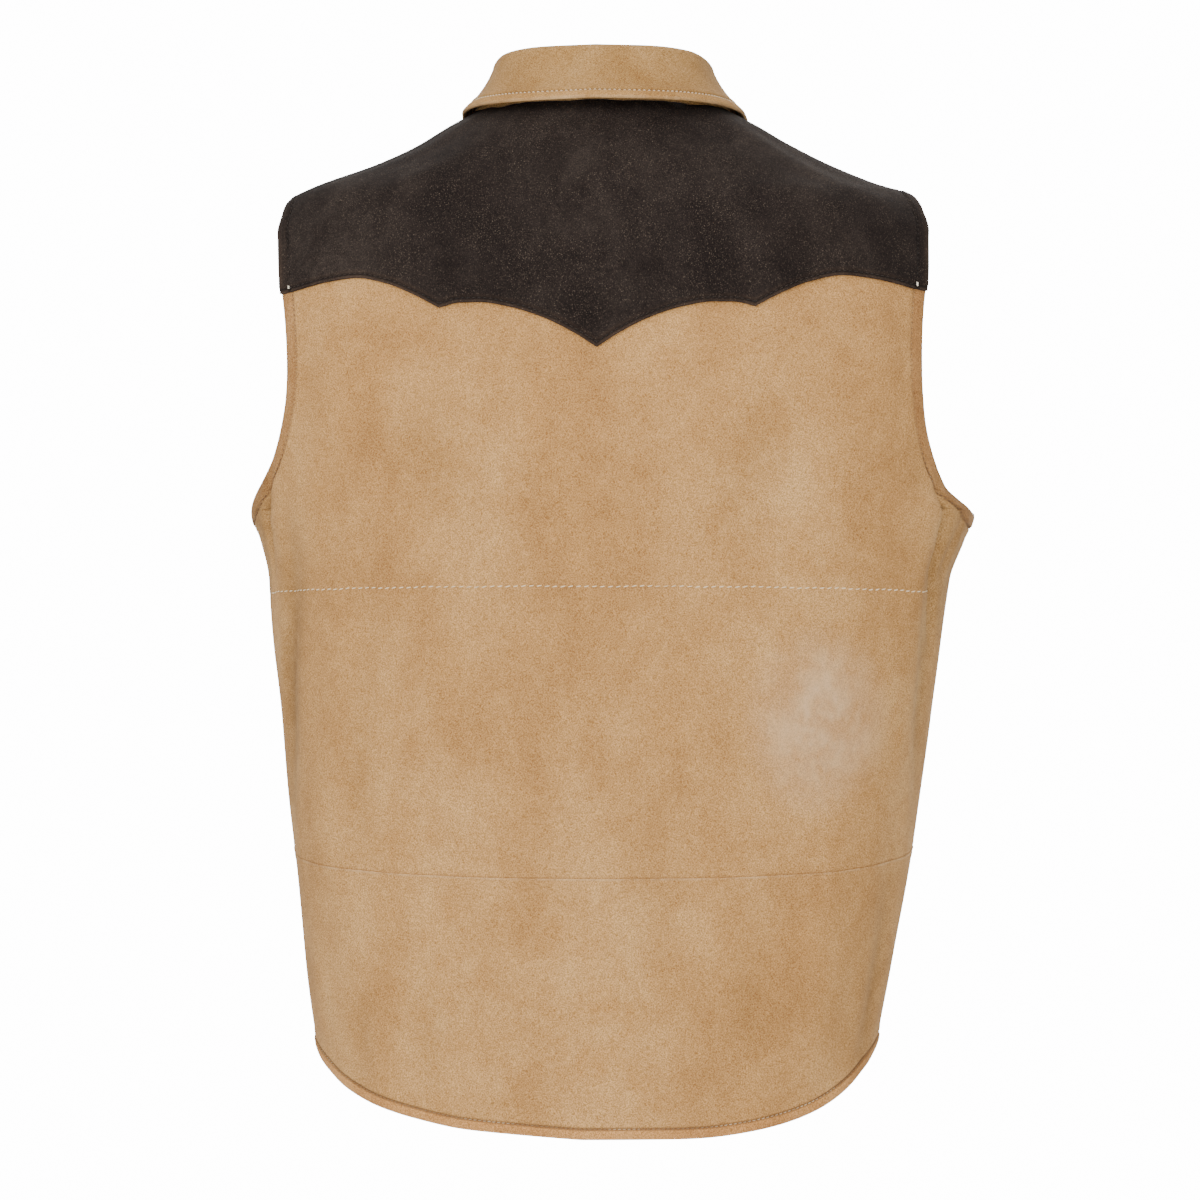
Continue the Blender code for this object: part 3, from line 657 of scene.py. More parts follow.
def blend_of(tree, first, share, second):
    """A weighted sum: share of the first value and the rest of the second."""
    return math_node(tree, "ADD", product(tree, first, share), product(tree, second, 1 - share))


def stored(tree, fact):
    """A value that every sheet stores at its points."""
    return add_node(tree, "ShaderNodeAttribute", {"attribute_name": fact}).outputs["Fac"]


def noise(tree, place, scale, detail=2.0, roughness=0.5):
    """The value of a noise texture at a place, from about 0.2 to 0.8."""
    values = {"Vector": place, "Scale": scale, "Detail": detail, "Roughness": roughness}
    return add_node(tree, "ShaderNodeTexNoise", None, **values).outputs[0]


def stretched(tree, place, x, y, z, shift=(0, 0, 0)):
    """A place with each axis multiplied: below 1 draws a pattern out along that axis."""
    values = {"Vector": place, "Scale": (x, y, z), "Location": shift}
    return add_node(tree, "ShaderNodeMapping", None, **values).outputs[0]


def remapped(tree, value, low, high, to_low=0.0, to_high=1.0):
    """A value stretched from one range to another and kept inside it."""
    settings = {"clamp": True}
    return add_node(
        tree, "ShaderNodeMapRange", settings, in0=value, in1=low, in2=high, in3=to_low, in4=to_high
    ).outputs[0]


def mixed(tree, share, first, second, blend="MIX"):
    """Two colours mixed by a share."""
    node = tree.nodes.new("ShaderNodeMix")
    node.data_type, node.blend_type = "RGBA", blend
    node.clamp_factor = True
    for number, value in ((0, share), (6, first), (7, second)):
        feed(tree, node.inputs[number], value)
    return node.outputs[2]


FLOAT, VECTOR = "NodeSocketFloat", "NodeSocketVector"
print("node helpers ready")

# %% Shared effects: clouds, grain, wear
def cloudy_nap_group():
    """Broad clouds drawn out downwards, blotches over them, and small flecks of stroked nap."""
    inputs = [("Place", VECTOR, None), ("Scale", FLOAT, 1.0)]
    group, start, end = new_group("cloudy nap", inputs, [("Broad", FLOAT), ("Blotch", FLOAT)])
    scaled = {"Vector": start.outputs["Place"], "Scale": start.outputs["Scale"]}
    place = add_node(group, "ShaderNodeVectorMath", {"operation": "SCALE"}, **scaled).outputs[0]
    bend = add_node(group, "ShaderNodeTexNoise", None, Vector=place, Scale=9.0, Detail=2.0).outputs[1]
    moved = {"in0": bend, "in1": (0.05, 0.05, 0.05), "in2": place}
    swirl = add_node(group, "ShaderNodeVectorMath", {"operation": "MULTIPLY_ADD"}, **moved).outputs[0]
    broad = noise(group, stretched(group, swirl, 1.0, 1.0, 0.40), 11.0, 3.0, 0.55)
    middle = noise(group, stretched(group, swirl, 1.0, 1.0, 0.8, (0.3, 0.1, 0.7)), 34.0, 4.0, 0.62)
    fleck = noise(group, swirl, 120.0, 3.0, 0.6)
    blotch = blend_of(group, middle, 0.7, fleck)
    group.links.new(remapped(group, broad, 0.34, 0.66), end.inputs["Broad"])
    group.links.new(remapped(group, blotch, 0.36, 0.64), end.inputs["Blotch"])
    return group


def fibre_grain_group():
    """Tufts about a millimetre across with finer fibres between them, and a height for the bump."""
    inputs = [("Place", VECTOR, None), ("Tufts per metre", FLOAT, 900.0)]
    group, start, end = new_group("fibre grain", inputs, [("Grain", FLOAT), ("Height", FLOAT)])
    place, per_metre = start.outputs["Place"], start.outputs["Tufts per metre"]
    tufts = noise(group, place, per_metre, 2.0, 0.7)
    leaning = stretched(group, place, 1.0, 1.0, 0.45, (0.2, 0.4, 0.1))
    fibres = noise(group, leaning, product(group, per_metre, 1.9), 1.0, 0.6)
    both = blend_of(group, tufts, 0.6, fibres)
    group.links.new(remapped(group, both, 0.38, 0.62), end.inputs["Grain"])
    group.links.new(both, end.inputs["Height"])
    return group


def wear_stitches_and_painted_light_group():
    """Nap rubbed pale along edges, the dark line that stitches press, turned bands, a painted highlight
    along a seam's ridge, and painted shade in troughs and beside the underarms.
    """
    inputs = [("Blotch", FLOAT, 0.5), ("Edge width", FLOAT, 0.0016), ("Groove width", FLOAT, 0.0010)]
    outputs = [("Rubbed", FLOAT), ("Pressed", FLOAT), ("Band", FLOAT), ("Trough", FLOAT)]
    group, start, end = new_group("worn and stitched", inputs, outputs)
    blotch = start.outputs["Blotch"]
    by_edge = math_node(group, "DIVIDE", stored(group, "edge_gap"), start.outputs["Edge width"])
    by_groove = math_node(group, "DIVIDE", stored(group, "stitch_gap"), start.outputs["Groove width"])
    near_edge = remapped(group, by_edge, 0.0, 1.0, 1.0, 0.0)
    near_ridge = remapped(group, stored(group, "ridge_gap"), 0.0006, 0.0019, 1.0, 0.0)
    rubbed = product(group, near_edge, remapped(group, blotch, 0.1, 0.9, 0.35, 1.0))
    # Painted highlight: a pale line along the ridge of the waist seam, drawn in the rubbed tone.
    ridge_highlight = product(group, near_ridge, remapped(group, blotch, 0.25, 0.75, 0.15, 0.85))
    # Painted shade: the hollows of folds and the strips beside the underarms turn darker.
    painted_shade = product(group, stored(group, "trough"), remapped(group, blotch, 0.1, 0.9, 1.0, 0.6))
    group.links.new(math_node(group, "MAXIMUM", rubbed, ridge_highlight), end.inputs["Rubbed"])
    group.links.new(remapped(group, by_groove, 0.2, 1.4, 1.0, 0.0), end.inputs["Pressed"])
    group.links.new(stored(group, "turned_band"), end.inputs["Band"])
    group.links.new(painted_shade, end.inputs["Trough"])
    return group


CLOUDY_NAP, FIBRE_GRAIN, WEAR_AND_PAINTED_LIGHT = cloudy_nap_group(), fibre_grain_group(), wear_stitches_and_painted_light_group()
print("shared effects:", [group.name for group in (CLOUDY_NAP, FIBRE_GRAIN, WEAR_AND_PAINTED_LIGHT)])

# %% The two hides
def group_node(tree, group, **values):
    """A node group placed in a material, with its named inputs."""
    return add_node(tree, "ShaderNodeGroup", {"node_tree": group}, **values)


def blank_material(name, roughness, metallic=0.0):
    """A material with one Principled shader, its node tree and the object's own coordinates."""
    material = bpy.data.materials.new(name)
    material.use_nodes = True
    tree = material.node_tree
    shader = tree.nodes["Principled BSDF"]
    shader.inputs["Roughness"].default_value = roughness
    shader.inputs["Metallic"].default_value = metallic
    place = tree.nodes.new("ShaderNodeTexCoord").outputs["Object"]
    return material, tree, shader, place


Hide = namedtuple(
    "Hide", "dark plain pale grain_dark grain_pale rubbed pressed band trough sheen sheen_tint bump"
)
# The trough tones are painted shade for the hollows of folds and the strips beside the underarms. The
# rubbed tone also paints a highlight along the waist seam's ridge.
TAN = Hide(
    (0.350, 0.174, 0.058, 1), (0.495, 0.260, 0.088, 1), (0.630, 0.375, 0.150, 1),
    (0.58, 0.52, 0.44, 1), (1.38, 1.42, 1.50, 1), (0.68, 0.47, 0.26, 1), (0.15, 0.075, 0.032, 1),
    (0.78, 0.72, 0.71, 1), (0.59, 0.58, 0.54, 1), 0.12, (0.95, 0.80, 0.60, 1), 0.60,
)
# The collar's tones are a darker copy of the tan's: painted shade for a collar that faces up into the
# lamps. Its lighter band tone is a painted highlight on the puffed border under its stitches.
SHADED_COLLAR_TAN = TAN._replace(
    dark=(0.255, 0.124, 0.035, 1), plain=(0.362, 0.192, 0.060, 1), pale=(0.465, 0.278, 0.108, 1),
    band=(1.12, 1.10, 1.08, 1), grain_dark=(0.56, 0.50, 0.42, 1), grain_pale=(1.42, 1.48, 1.60, 1),
)
CHOCOLATE = Hide(
    (0.0050, 0.0028, 0.0024, 1), (0.0125, 0.0081, 0.0068, 1), (0.0370, 0.0285, 0.0240, 1),
    (0.50, 0.50, 0.50, 1), (1.70, 1.64, 1.55, 1), (0.078, 0.047, 0.029, 1), (0.006, 0.0042, 0.0035, 1),
    (0.95, 0.90, 0.86, 1), (0.75, 0.72, 0.70, 1), 0.03, (0.60, 0.52, 0.46, 1), 0.55,
)


def hide_colour(tree, place, hide, edge_width=0.0016):
    """Colour of a hide: clouds between its three tones, grain over them, then worn nap and grooves,
    with painted shade in troughs and a painted highlight along a seam's ridge.
    """
    nap = group_node(tree, CLOUDY_NAP, Place=place, Scale=1.0)
    grain = group_node(tree, FIBRE_GRAIN, Place=place, Tufts_per_metre=1200.0)
    broad, blotch = nap.outputs["Broad"], nap.outputs["Blotch"]
    lower = mixed(tree, remapped(tree, blotch, 0.0, 1.0, 0.25, 1.0), hide.dark, hide.plain)
    upper = mixed(tree, remapped(tree, blotch, 0.0, 1.0, 0.0, 0.75), hide.plain, hide.pale)
    colour = mixed(tree, broad, lower, upper)
    fleck = mixed(tree, grain.outputs["Grain"], hide.grain_dark, hide.grain_pale)
    colour = mixed(tree, 1.0, colour, fleck, "MULTIPLY")
    wear_and_painted_light = group_node(tree, WEAR_AND_PAINTED_LIGHT, Blotch=blotch, Edge_width=edge_width)
    # Turned bands take their own tone, on the collar a painted highlight; the hollows of folds and the
    # strips beside the underarms take painted shade.
    for part, tone in (("Band", hide.band), ("Trough", hide.trough)):
        colour = mixed(tree, wear_and_painted_light.outputs[part], colour, mixed(tree, 1.0, colour, tone, "MULTIPLY"))
    # Nap rubbed pale along rolled edges, and a painted highlight along the waist seam's ridge.
    colour = mixed(tree, product(tree, wear_and_painted_light.outputs["Rubbed"], 0.55), colour, hide.rubbed)
    return colour, wear_and_painted_light.outputs["Pressed"], grain.outputs["Height"], blotch


def add_bump(tree, shader, strength, distance, height):
    """Tilts a shader's normal by the slope of a height."""
    bump_node = add_node(
        tree, "ShaderNodeBump", None, Strength=strength, Distance=distance, Height=height
    )
    tree.links.new(bump_node.outputs[0], shader.inputs["Normal"])


def finish_hide(tree, shader, hide, colour, pressed, height):
    """Links a hide's colour and bump, and sets its soft sheen."""
    colour = mixed(tree, product(tree, pressed, 0.75), colour, hide.pressed)
    tree.links.new(colour, shader.inputs["Base Color"])
    add_bump(tree, shader, hide.bump, 0.0006, height)
    shader.inputs["Specular IOR Level"].default_value = 0.15
    shader.inputs["Sheen Weight"].default_value = hide.sheen
    shader.inputs["Sheen Roughness"].default_value = 0.45
    shader.inputs["Sheen Tint"].default_value = hide.sheen_tint


def spot(tree, place, centre, reach):
    """A soft patch, 1 at its centre and 0 beyond its reach along each axis."""
    scale = [1 / value for value in reach]
    shift = [-middle / value for middle, value in zip(centre, reach)]
    near = stretched(tree, place, *scale, shift)
    far = add_node(tree, "ShaderNodeVectorMath", {"operation": "LENGTH"}, in0=near).outputs[1]
    return remapped(tree, far, 0.15, 1.0, 1.0, 0.0)


def collar_suede():
    """A darker copy of the same hide: painted shade for a collar that faces up into the lamps."""
    material, tree, shader, place = blank_material("shaded collar suede", 0.93)
    colour, pressed, height, _ = hide_colour(tree, place, SHADED_COLLAR_TAN)
    finish_hide(tree, shader, SHADED_COLLAR_TAN, colour, pressed, height)
    return material


def tan_suede():
    """Tan hide with a pale scuffed patch on the back. Its hem band isn't handled, so it stays clean."""
    material, tree, shader, place = blank_material("tan suede", 0.93)
    rise = add_node(tree, "ShaderNodeSeparateXYZ", None, Vector=place).outputs["Z"]
    band = mixed(tree, remapped(tree, rise, -0.50, -0.40), (1.10, 1.00, 0.93, 1), TAN.band)
    colour, pressed, height, blotch = hide_colour(tree, place, TAN._replace(band=band))
    scuff = spot(tree, place, (-0.145, 0.10, -0.395), (0.050, 0.08, 0.065))
    scuff = product(tree, scuff, remapped(tree, blotch, 0.2, 0.9, 0.25, 0.75))
    colour = mixed(tree, scuff, colour, (0.68, 0.47, 0.29, 1))
    finish_hide(tree, shader, TAN, colour, pressed, height)
    return material


def dark_suede():
    """Dark brown hide, with single pale fibres caught in its nap."""
    material, tree, shader, place = blank_material("dark suede", 0.90)
    colour, pressed, height, _ = hide_colour(tree, place, CHOCOLATE, edge_width=0.0060)
    specks = noise(tree, stretched(tree, place, 1.0, 1.0, 0.8), 1500.0, 1.0, 0.5)
    gather = remapped(tree, noise(tree, place, 30.0, 3.0), 0.35, 0.65, 0.4, 0.9)
    specks = product(tree, remapped(tree, specks, 0.60, 0.72), gather)
    colour = mixed(tree, product(tree, specks, 0.45), colour, (0.22, 0.165, 0.120, 1))
    finish_hide(tree, shader, CHOCOLATE, colour, pressed, height)
    return material


TAN_SUEDE, SHADED_COLLAR_SUEDE, DARK_SUEDE = tan_suede(), collar_suede(), dark_suede()
print("hides:", [hide.name for hide in (TAN_SUEDE, SHADED_COLLAR_SUEDE, DARK_SUEDE)])

# %% [markdown]
# ## The back: three panels
#
# The back is cut in three, with a stitched seam at chest height and a plain one at the waist. Each
# panel runs from side seam to side seam. One big back with a line drawn on it would be quicker, but
# then the hide's clouds would run straight through the seams and no edge would catch the light.

# %% Back panels
SIDE_RADIUS = 0.13
SIDE_OPENING = SEAM_CLEARANCE / 2 / SIDE_RADIUS
BACK_WIDTH, BACK_LENGTH, UPPER_SIDE_LENGTH, UPPER_MIDDLE = 0.50, 0.18, 0.051, -0.22
HALF_ROUND = np.linspace(0, math.pi, 3001)


def across_back(height):
    """Shares of the half turn that lie at even lengths across the back at a height."""
    angles, _ = evened(HALF_ROUND, np.full_like(HALF_ROUND, height), shares_along(BACK_WIDTH))
    return angles / math.pi


def back_panel(name, low_edge, high_edge, low_kind, high_kind):
    """Angles run evenly from side seam to side seam, heights from the low edge to the high one."""
    share = across_back((low_edge(BACK) + high_edge(BACK)) / 2)[None, :]
    up = shares_along(BACK_LENGTH)[:, None]
    angle = SIDE_OPENING + (math.pi - 2 * SIDE_OPENING) * share + 0 * up
    low, high = low_edge(angle) + SEAM_CLEARANCE, high_edge(angle)
    height = low + (high - low) * up
    base = on_form(angle, height)
    edges = [Edge(base[0], low_kind), Edge(base[-1], high_kind)]
    edges += [Edge(base[:, column], PLAIN_SEAM) for column in (0, -1)]
    return panel(name, angle, height, 0.0, SUEDE_WALL, edges, TAN_SUEDE)


def lobe_edge(lobe, steps=400):
    """(angles, heights) along one lobe of the scallop, from the middle of the back outwards."""
    out = [row.out for row in lobe]
    across = np.linspace(out[0], out[-1], steps)
    height = curve_through(out, [row.height for row in lobe])(across)
    return angle_beside(BACK, across, height), height


def armhole_arc(low_turn, high_turn, reach, steps=1500):
    """(angles, heights) along an armhole, by turns round its oval: 0 is the shoulder tip."""
    turn = np.linspace(low_turn, high_turn, steps)
    heights = (SHOULDER_TIP + UNDERARM) / 2 + (SHOULDER_TIP - UNDERARM) / 2 * np.cos(turn)
    return armhole_angle(heights, reach), heights


def turn_at(height):
    """Turn round the armhole's oval at which it passes a height."""
    return math.acos((height - (SHOULDER_TIP + UNDERARM) / 2) / ((SHOULDER_TIP - UNDERARM) / 2))


def joined(*runs):
    """(angles, heights) of several runs as one, each corner counted once."""
    angles = np.concatenate([run[0][:-1] for run in runs] + [runs[-1][0][-1:]])
    heights = np.concatenate([run[1][:-1] for run in runs] + [runs[-1][1][-1:]])
    return angles, heights


def even_run(run, step=0.0022):
    """The same run at even lengths about one step apart."""
    length = lengths_along(bare_form(*run))[-1]
    return evened(*run, np.linspace(0, 1, max(2, round(length / step)) + 1))


inner_lobe, outer_lobe = lobe_edge(INNER_LOBE), lobe_edge(OUTER_LOBE)
outer_lobe[0][-1], outer_lobe[1][-1] = armhole_angle(YOKE_CORNER, ARMHOLE_BACK_REACH), YOKE_CORNER
HALF_SCALLOP = joined(inner_lobe, outer_lobe)


def scallop_height(angle):
    """Height of the scallop at an angle, the same on both sides of the back."""
    near = np.where(angle > BACK, mirrored(angle), angle)
    return np.interp(-near, -HALF_SCALLOP[0], HALF_SCALLOP[1])


def back_upper_places():
    """Rows climb the side seam and then the armhole, up to a lap that lies under the yoke."""
    side_heights = CHEST_SEAM_SIDE + (UNDERARM - CHEST_SEAM_SIDE) * shares_along(UPPER_SIDE_LENGTH)
    arc = armhole_arc(math.pi, turn_at(YOKE_CORNER + LAP), ARMHOLE_BACK_REACH)
    arm_angles, arm_heights = even_run(arc)
    rows = np.concatenate([side_heights, arm_heights[1:]])
    left = np.concatenate([np.full(len(side_heights), SIDE_OPENING), arm_angles[1:]])[:, None]
    share = across_back(UPPER_MIDDLE)[None, :]
    angle = left + (math.pi - 2 * left) * share
    low = chest_seam(angle) + SEAM_CLEARANCE
    top = scallop_height(angle[-1]) + LAP
    climb = ((rows - rows[0]) / (rows[-1] - rows[0]))[:, None]
    return angle, low + (top - low) * climb, len(side_heights) - 1


def build_back_upper():
    """The upper back and the places of its left and right armhole edges."""
    angle, height, corner = back_upper_places()
    base = on_form(angle, height)
    edges = [Edge(base[0], STITCHED_SEAM)]
    for column in (0, -1):
        edges += [Edge(base[: corner + 1, column], PLAIN_SEAM), Edge(base[corner:, column], ARMHOLE)]
    piece = panel("back_upper_suede", angle, height, 0.0, SUEDE_WALL, edges, TAN_SUEDE)
    return piece, [(angle[corner:, column], height[corner:, column]) for column in (0, -1)]


back_lower = back_panel("back_lower_suede", hem_height, waist_seam, TURNED, RIDGE_SEAM)
back_middle = back_panel("back_middle_suede", waist_seam, chest_seam, PLAIN_SEAM, STITCHED_SEAM)
back_upper, back_armholes = build_back_upper()

# %% [markdown]
# ## The fronts
#
# The photo never shows the front, so it is finished plainly, as this kind of vest must close: the
# left front laps over the right one and a row of snaps holds them. Each front is one piece. Its
# outer edge follows the side seam, then the armhole, then a straight seam under the yoke.

# %% Front panels
OVERLAP_REACH, OVERLAP_END = -0.016, 0.028
PLACKET = Treatment(0.0006, 0.0006, BAND_WIDTH, 0.0, 0.0016, 0.0002)
FRONT_RADIUS, UNDER_DIP_LENGTH = 0.205, 0.012
FRONT_WIDTH, FRONT_TOP_LENGTH, FRONT_MIDDLE = 0.26, 0.10, -0.30
FRONT_LAP_ANGLE = YOKE_FRONT_ANGLE + math.radians(5.0)
LAP_CORNER = float(top_of_armhole(FRONT_LAP_ANGLE, -ARMHOLE_FRONT_REACH))


def front_line(angle):
    """Where the upper rows of a front begin: from the yoke's corner down to the middle."""
    share = np.clip((FRONT_LAP_ANGLE - angle) / (FRONT_LAP_ANGLE - FRONT), 0, 1)
    return LAP_CORNER - FRONT_DIP * share


def front_columns(side, heights_of):
    """Places of one block of rows: a straight band beside the free edge, then even steps to the side."""
    middle = heights_of(np.array([[FRONT]]))
    width = OVERLAP_END - OVERLAP_REACH
    across = OVERLAP_REACH + np.concatenate([EDGE_STEPS, np.linspace(EDGE_STEPS[-1], width, 13)[1:]])
    band = np.hstack([angle_beside(FRONT, np.full_like(middle, x), middle) for x in across])
    round_side = np.linspace(FRONT, 0, 1501)[100:]
    angles, _ = evened(round_side, np.full_like(round_side, FRONT_MIDDLE), shares_along(FRONT_WIDTH))
    share = ((angles - angles[0]) / (angles[-1] - angles[0]))[None, EDGE_STEPS.size - 1 :]
    share = (share[:, 1:] - share[:, :1]) / (1 - share[0, 0])
    main = band[:, -1:] * (1 - share) + side * share
    heights = np.hstack([np.repeat(middle, band.shape[1], axis=1), heights_of(main)])
    return np.hstack([band, main]), heights


def front_places():
    """Rows climb the side seam, the armhole and the seam under the yoke, and end at the neck."""
    seam = HEM_SIDE + (UNDERARM - HEM_SIDE) * shares_along(UNDERARM - HEM_SIDE)
    arm_angles, arm_heights = even_run(armhole_arc(math.pi, turn_at(LAP_CORNER), -ARMHOLE_FRONT_REACH))
    rows = np.concatenate([seam, arm_heights[1:]])
    side = np.concatenate([np.full(len(seam), -SIDE_OPENING), arm_angles[1:]])[:, None]
    climb = ((rows - rows[0]) / (rows[-1] - rows[0]))[:, None]
    to_line = lambda angle: hem_height(angle) * (1 - climb) + front_line(angle) * climb
    lower = front_columns(side, to_line)
    up = shares_along(FRONT_TOP_LENGTH)[1:, None]
    to_neck = lambda angle: front_line(angle[:1]) * (1 - up) + neck_height(angle[:1]) * up
    upper = front_columns(np.full((len(up), 1), FRONT_LAP_ANGLE), to_neck)
    return np.vstack([lower[0], upper[0]]), np.vstack([lower[1], upper[1]]), len(seam) - 1, len(rows) - 1


def build_front(name, on_left):
    """A front and its places. The right one dips under the left one along the middle."""
    angle, height, underarm, yoke_corner = front_places()
    lift = np.zeros(angle.shape)
    if not on_left:
        under = ease((OVERLAP_END - 0.002 - (angle - FRONT) * FRONT_RADIUS) / UNDER_DIP_LENGTH)
        lift = -(SUEDE_WALL + 0.0003) * under
        angle, height, lift = mirrored(angle)[:, ::-1], height[:, ::-1], lift[:, ::-1]
    free, side = (0, -1) if on_left else (-1, 0)
    base = on_form(angle, height, lift)
    edges = [
        Edge(base[0], TURNED),
        Edge(base[:, free], PLACKET if on_left else HIDDEN),
        Edge(base[: underarm + 1, side], PLAIN_SEAM),
        Edge(base[underarm : yoke_corner + 1, side], ARMHOLE),
        Edge(base[-1], HIDDEN),
    ]
    piece = panel(name, angle, height, lift, SUEDE_WALL, edges, TAN_SUEDE)
    armhole = (angle[underarm : yoke_corner + 1, side], height[underarm : yoke_corner + 1, side])
    return piece, armhole, (angle[:, free], height[:, free]), (angle[0], height[0])


front_left, left_front_armhole, placket_edge, left_hem = build_front("front_left_suede", True)
front_right, right_front_armhole, _, right_hem = build_front("front_right_suede", False)

# %% [markdown]
# ## The yoke
#
# The yoke is one piece of dark hide laid over both shoulders and stitched down along its cut edge.
# Its lower edge is five points joined by four arcs. A texture could paint it, but the real one
# stands a wall's thickness proud and throws a fine shadow, so it is a sheet of its own, lifted just
# clear of the panels under it.

# %% Yoke
SHOULDER_RADIUS, YOKE_LENGTH = 0.19, 0.125


def yoke_places():
    """Columns follow the lower edge: front armhole arc, back armhole arc, scallop, and back again."""
    near = YOKE_FRONT_ANGLE + EDGE_STEPS / SHOULDER_RADIUS
    near_front = (near, top_of_armhole(near, -ARMHOLE_FRONT_REACH))
    front_arc = even_run(armhole_arc(turn_at(near_front[1][-1]), 0.0, -ARMHOLE_FRONT_REACH))
    back_arc = even_run(armhole_arc(0.0, turn_at(YOKE_CORNER), ARMHOLE_BACK_REACH))
    lobes = [even_run((lobe[0][::-1], lobe[1][::-1])) for lobe in (outer_lobe, inner_lobe)]
    front_arc[0][0], front_arc[1][0] = near_front[0][-1], near_front[1][-1]
    angles, heights = joined(near_front, front_arc, back_arc, *lobes)
    corner = len(near) + len(front_arc[0]) + len(back_arc[0]) - 3
    bottom_angles = np.concatenate([angles, mirrored(angles[:-1])[::-1]])
    bottom = np.concatenate([heights, heights[:-1][::-1]])
    up = shares_along(YOKE_LENGTH)[:, None]
    angle = bottom_angles[None, :] + 0 * up
    return angle, bottom + (neck_height(angle) - bottom) * up, corner


def build_yoke():
    """The yoke and the places of its lower edge, split at its two back corners."""
    angle, height, corner = yoke_places()
    base = on_form(angle, height, YOKE_LIFT)
    last = angle.shape[1] - 1 - corner
    left, right, scallop = slice(corner + 1), slice(last, None), slice(corner, last + 1)
    edges = [Edge(base[0, left], ARMHOLE), Edge(base[0, right], ARMHOLE)]
    edges += [Edge(line, CUT) for line in (base[0, scallop], base[:, 0], base[:, -1])]
    piece = panel("yoke_suede", angle, height, YOKE_LIFT, YOKE_WALL, edges, DARK_SUEDE)
    armholes = [(angle[0, left], height[0, left]), (angle[0, right][::-1], height[0, right][::-1])]
    ends = [(angle[:, column], height[:, column]) for column in (0, -1)]
    return piece, armholes, (angle[0, scallop], height[0, scallop]), ends


yoke, yoke_armholes, scallop_edge, yoke_ends = build_yoke()

# %% [markdown]
# ## The collar
#
# The collar stands up from the neck seam, rolls over a fold and falls down outside, all in one
# sheet. Its lower edge is turned and stitched, so the border under the stitches puffs out and casts
# the dark line on the yoke. It could be cut as a flat shape and folded by simulation, but a table
# of seven stations keeps its fold and edge where the photo shows them.

# %% Collar
COLLAR = table("turn fold_out fold_back fold_height edge_out edge_back edge_height", [
    (90, 0, 0.0605, 0.0408, 0, 0.0905, 0.0045),
    (60, 0.037, 0.052, 0.0404, 0.044, 0.079, 0.0042),
    (30, 0.062, 0.029, 0.038, 0.0785, 0.045, 0.0036),
    (0, 0.069, -0.004, 0.032, 0.093, 0.001, 0.0022),
    (-30, 0.06, -0.034, 0.016, 0.0955, -0.04, -0.011),
    (-60, 0.035, -0.056, -0.008, 0.084, -0.07, -0.048),
    (-84, 0.007, -0.066, -0.026, 0.062, -0.094, -0.09),
])
COLLAR_WALL, COLLAR_ROLL, COLLAR_BOW, COLLAR_LAP = 0.0024, 0.0032, 0.0025, 0.0030
COLLAR_HALF_LENGTH, COLLAR_FALL, COLLAR_STITCH_INSET, COLLAR_SWAY = 0.24, 0.045, 0.0066, 0.00035
STAND_STEPS, CROWN_STEPS, FRONT_END_ROWS = 10, 13, 17
CROWN_END = STAND_STEPS + CROWN_STEPS - 2
COLLAR_EDGE = Treatment(0.0007, 0.0010, COLLAR_STITCH_INSET, 0.0, 0.0022, 0.0006)


def neck_seam(turn):
    """Points of the collar's foot, outside the cloth round the neck hole.

    At the back and front it hangs over the neck edge. On the shoulders it stands on it.
    """
    places = np.radians(np.linspace(-90, 90, len(NECK_ANGLES)))
    angle = np.interp(turn, places, NECK_ANGLES)
    height = np.interp(turn, places, NECK_HEIGHTS)
    on_yoke = np.clip((angle - YOKE_FRONT_ANGLE) / math.radians(6.0) + 1, 0, 1)
    steep = np.sin(turn) ** 2
    lift = YOKE_LIFT * on_yoke + COLLAR_WALL / 2 * steep + 0.0003
    return on_form(angle, height - COLLAR_LAP * (0.3 + 0.7 * steep), lift)


def collar_half():
    """Middle of the sheet on the wearer's left: rows from the front end to the middle of the back.

    Each row climbs the stand in a line, rolls over the fold in half a circle, then follows the fall,
    a line bowed inwards by 4 * bow * t * (1 - t).
    """
    near_front = EDGE_STEPS / COLLAR_HALF_LENGTH
    share = np.concatenate([near_front, np.linspace(near_front[-1], 1, 92)[1:]])
    turns = COLLAR[-1].turn + (COLLAR[0].turn - COLLAR[-1].turn) * share
    values = {name: column_of(COLLAR, name)(turns)[:, None] for name in COLLAR[0]._fields}
    foot = neck_seam(np.radians(turns))[:, None, :]
    fold, edge = (
        np.stack([values[f"{line}_{axis}"] for axis in ("out", "back", "height")], axis=-1)
        for line in ("fold", "edge")
    )
    way = unit((edge - fold) * np.array([1, 1, 0]))
    up = np.array([0, 0, 1.0])
    roll = COLLAR_ROLL * way
    stand_top = fold - roll - COLLAR_ROLL * up
    stand = foot + (stand_top - foot) * np.linspace(0, 1, STAND_STEPS)[:-1, None]
    bend = np.radians(np.linspace(180, 0, CROWN_STEPS))[:, None]
    crown = fold - COLLAR_ROLL * up + roll * np.cos(bend) + COLLAR_ROLL * up * np.sin(bend)
    to_edge = np.concatenate([np.linspace(1, 0.27, 15)[1:-1], (EDGE_STEPS / COLLAR_FALL)[::-1]])
    drop = 1 - to_edge[:, None]
    fall = crown[:, -1:] + (edge - crown[:, -1:]) * drop
    fall = fall - way * COLLAR_BOW * 4 * drop * (1 - drop)
    return np.concatenate([stand, crown, fall], axis=1)


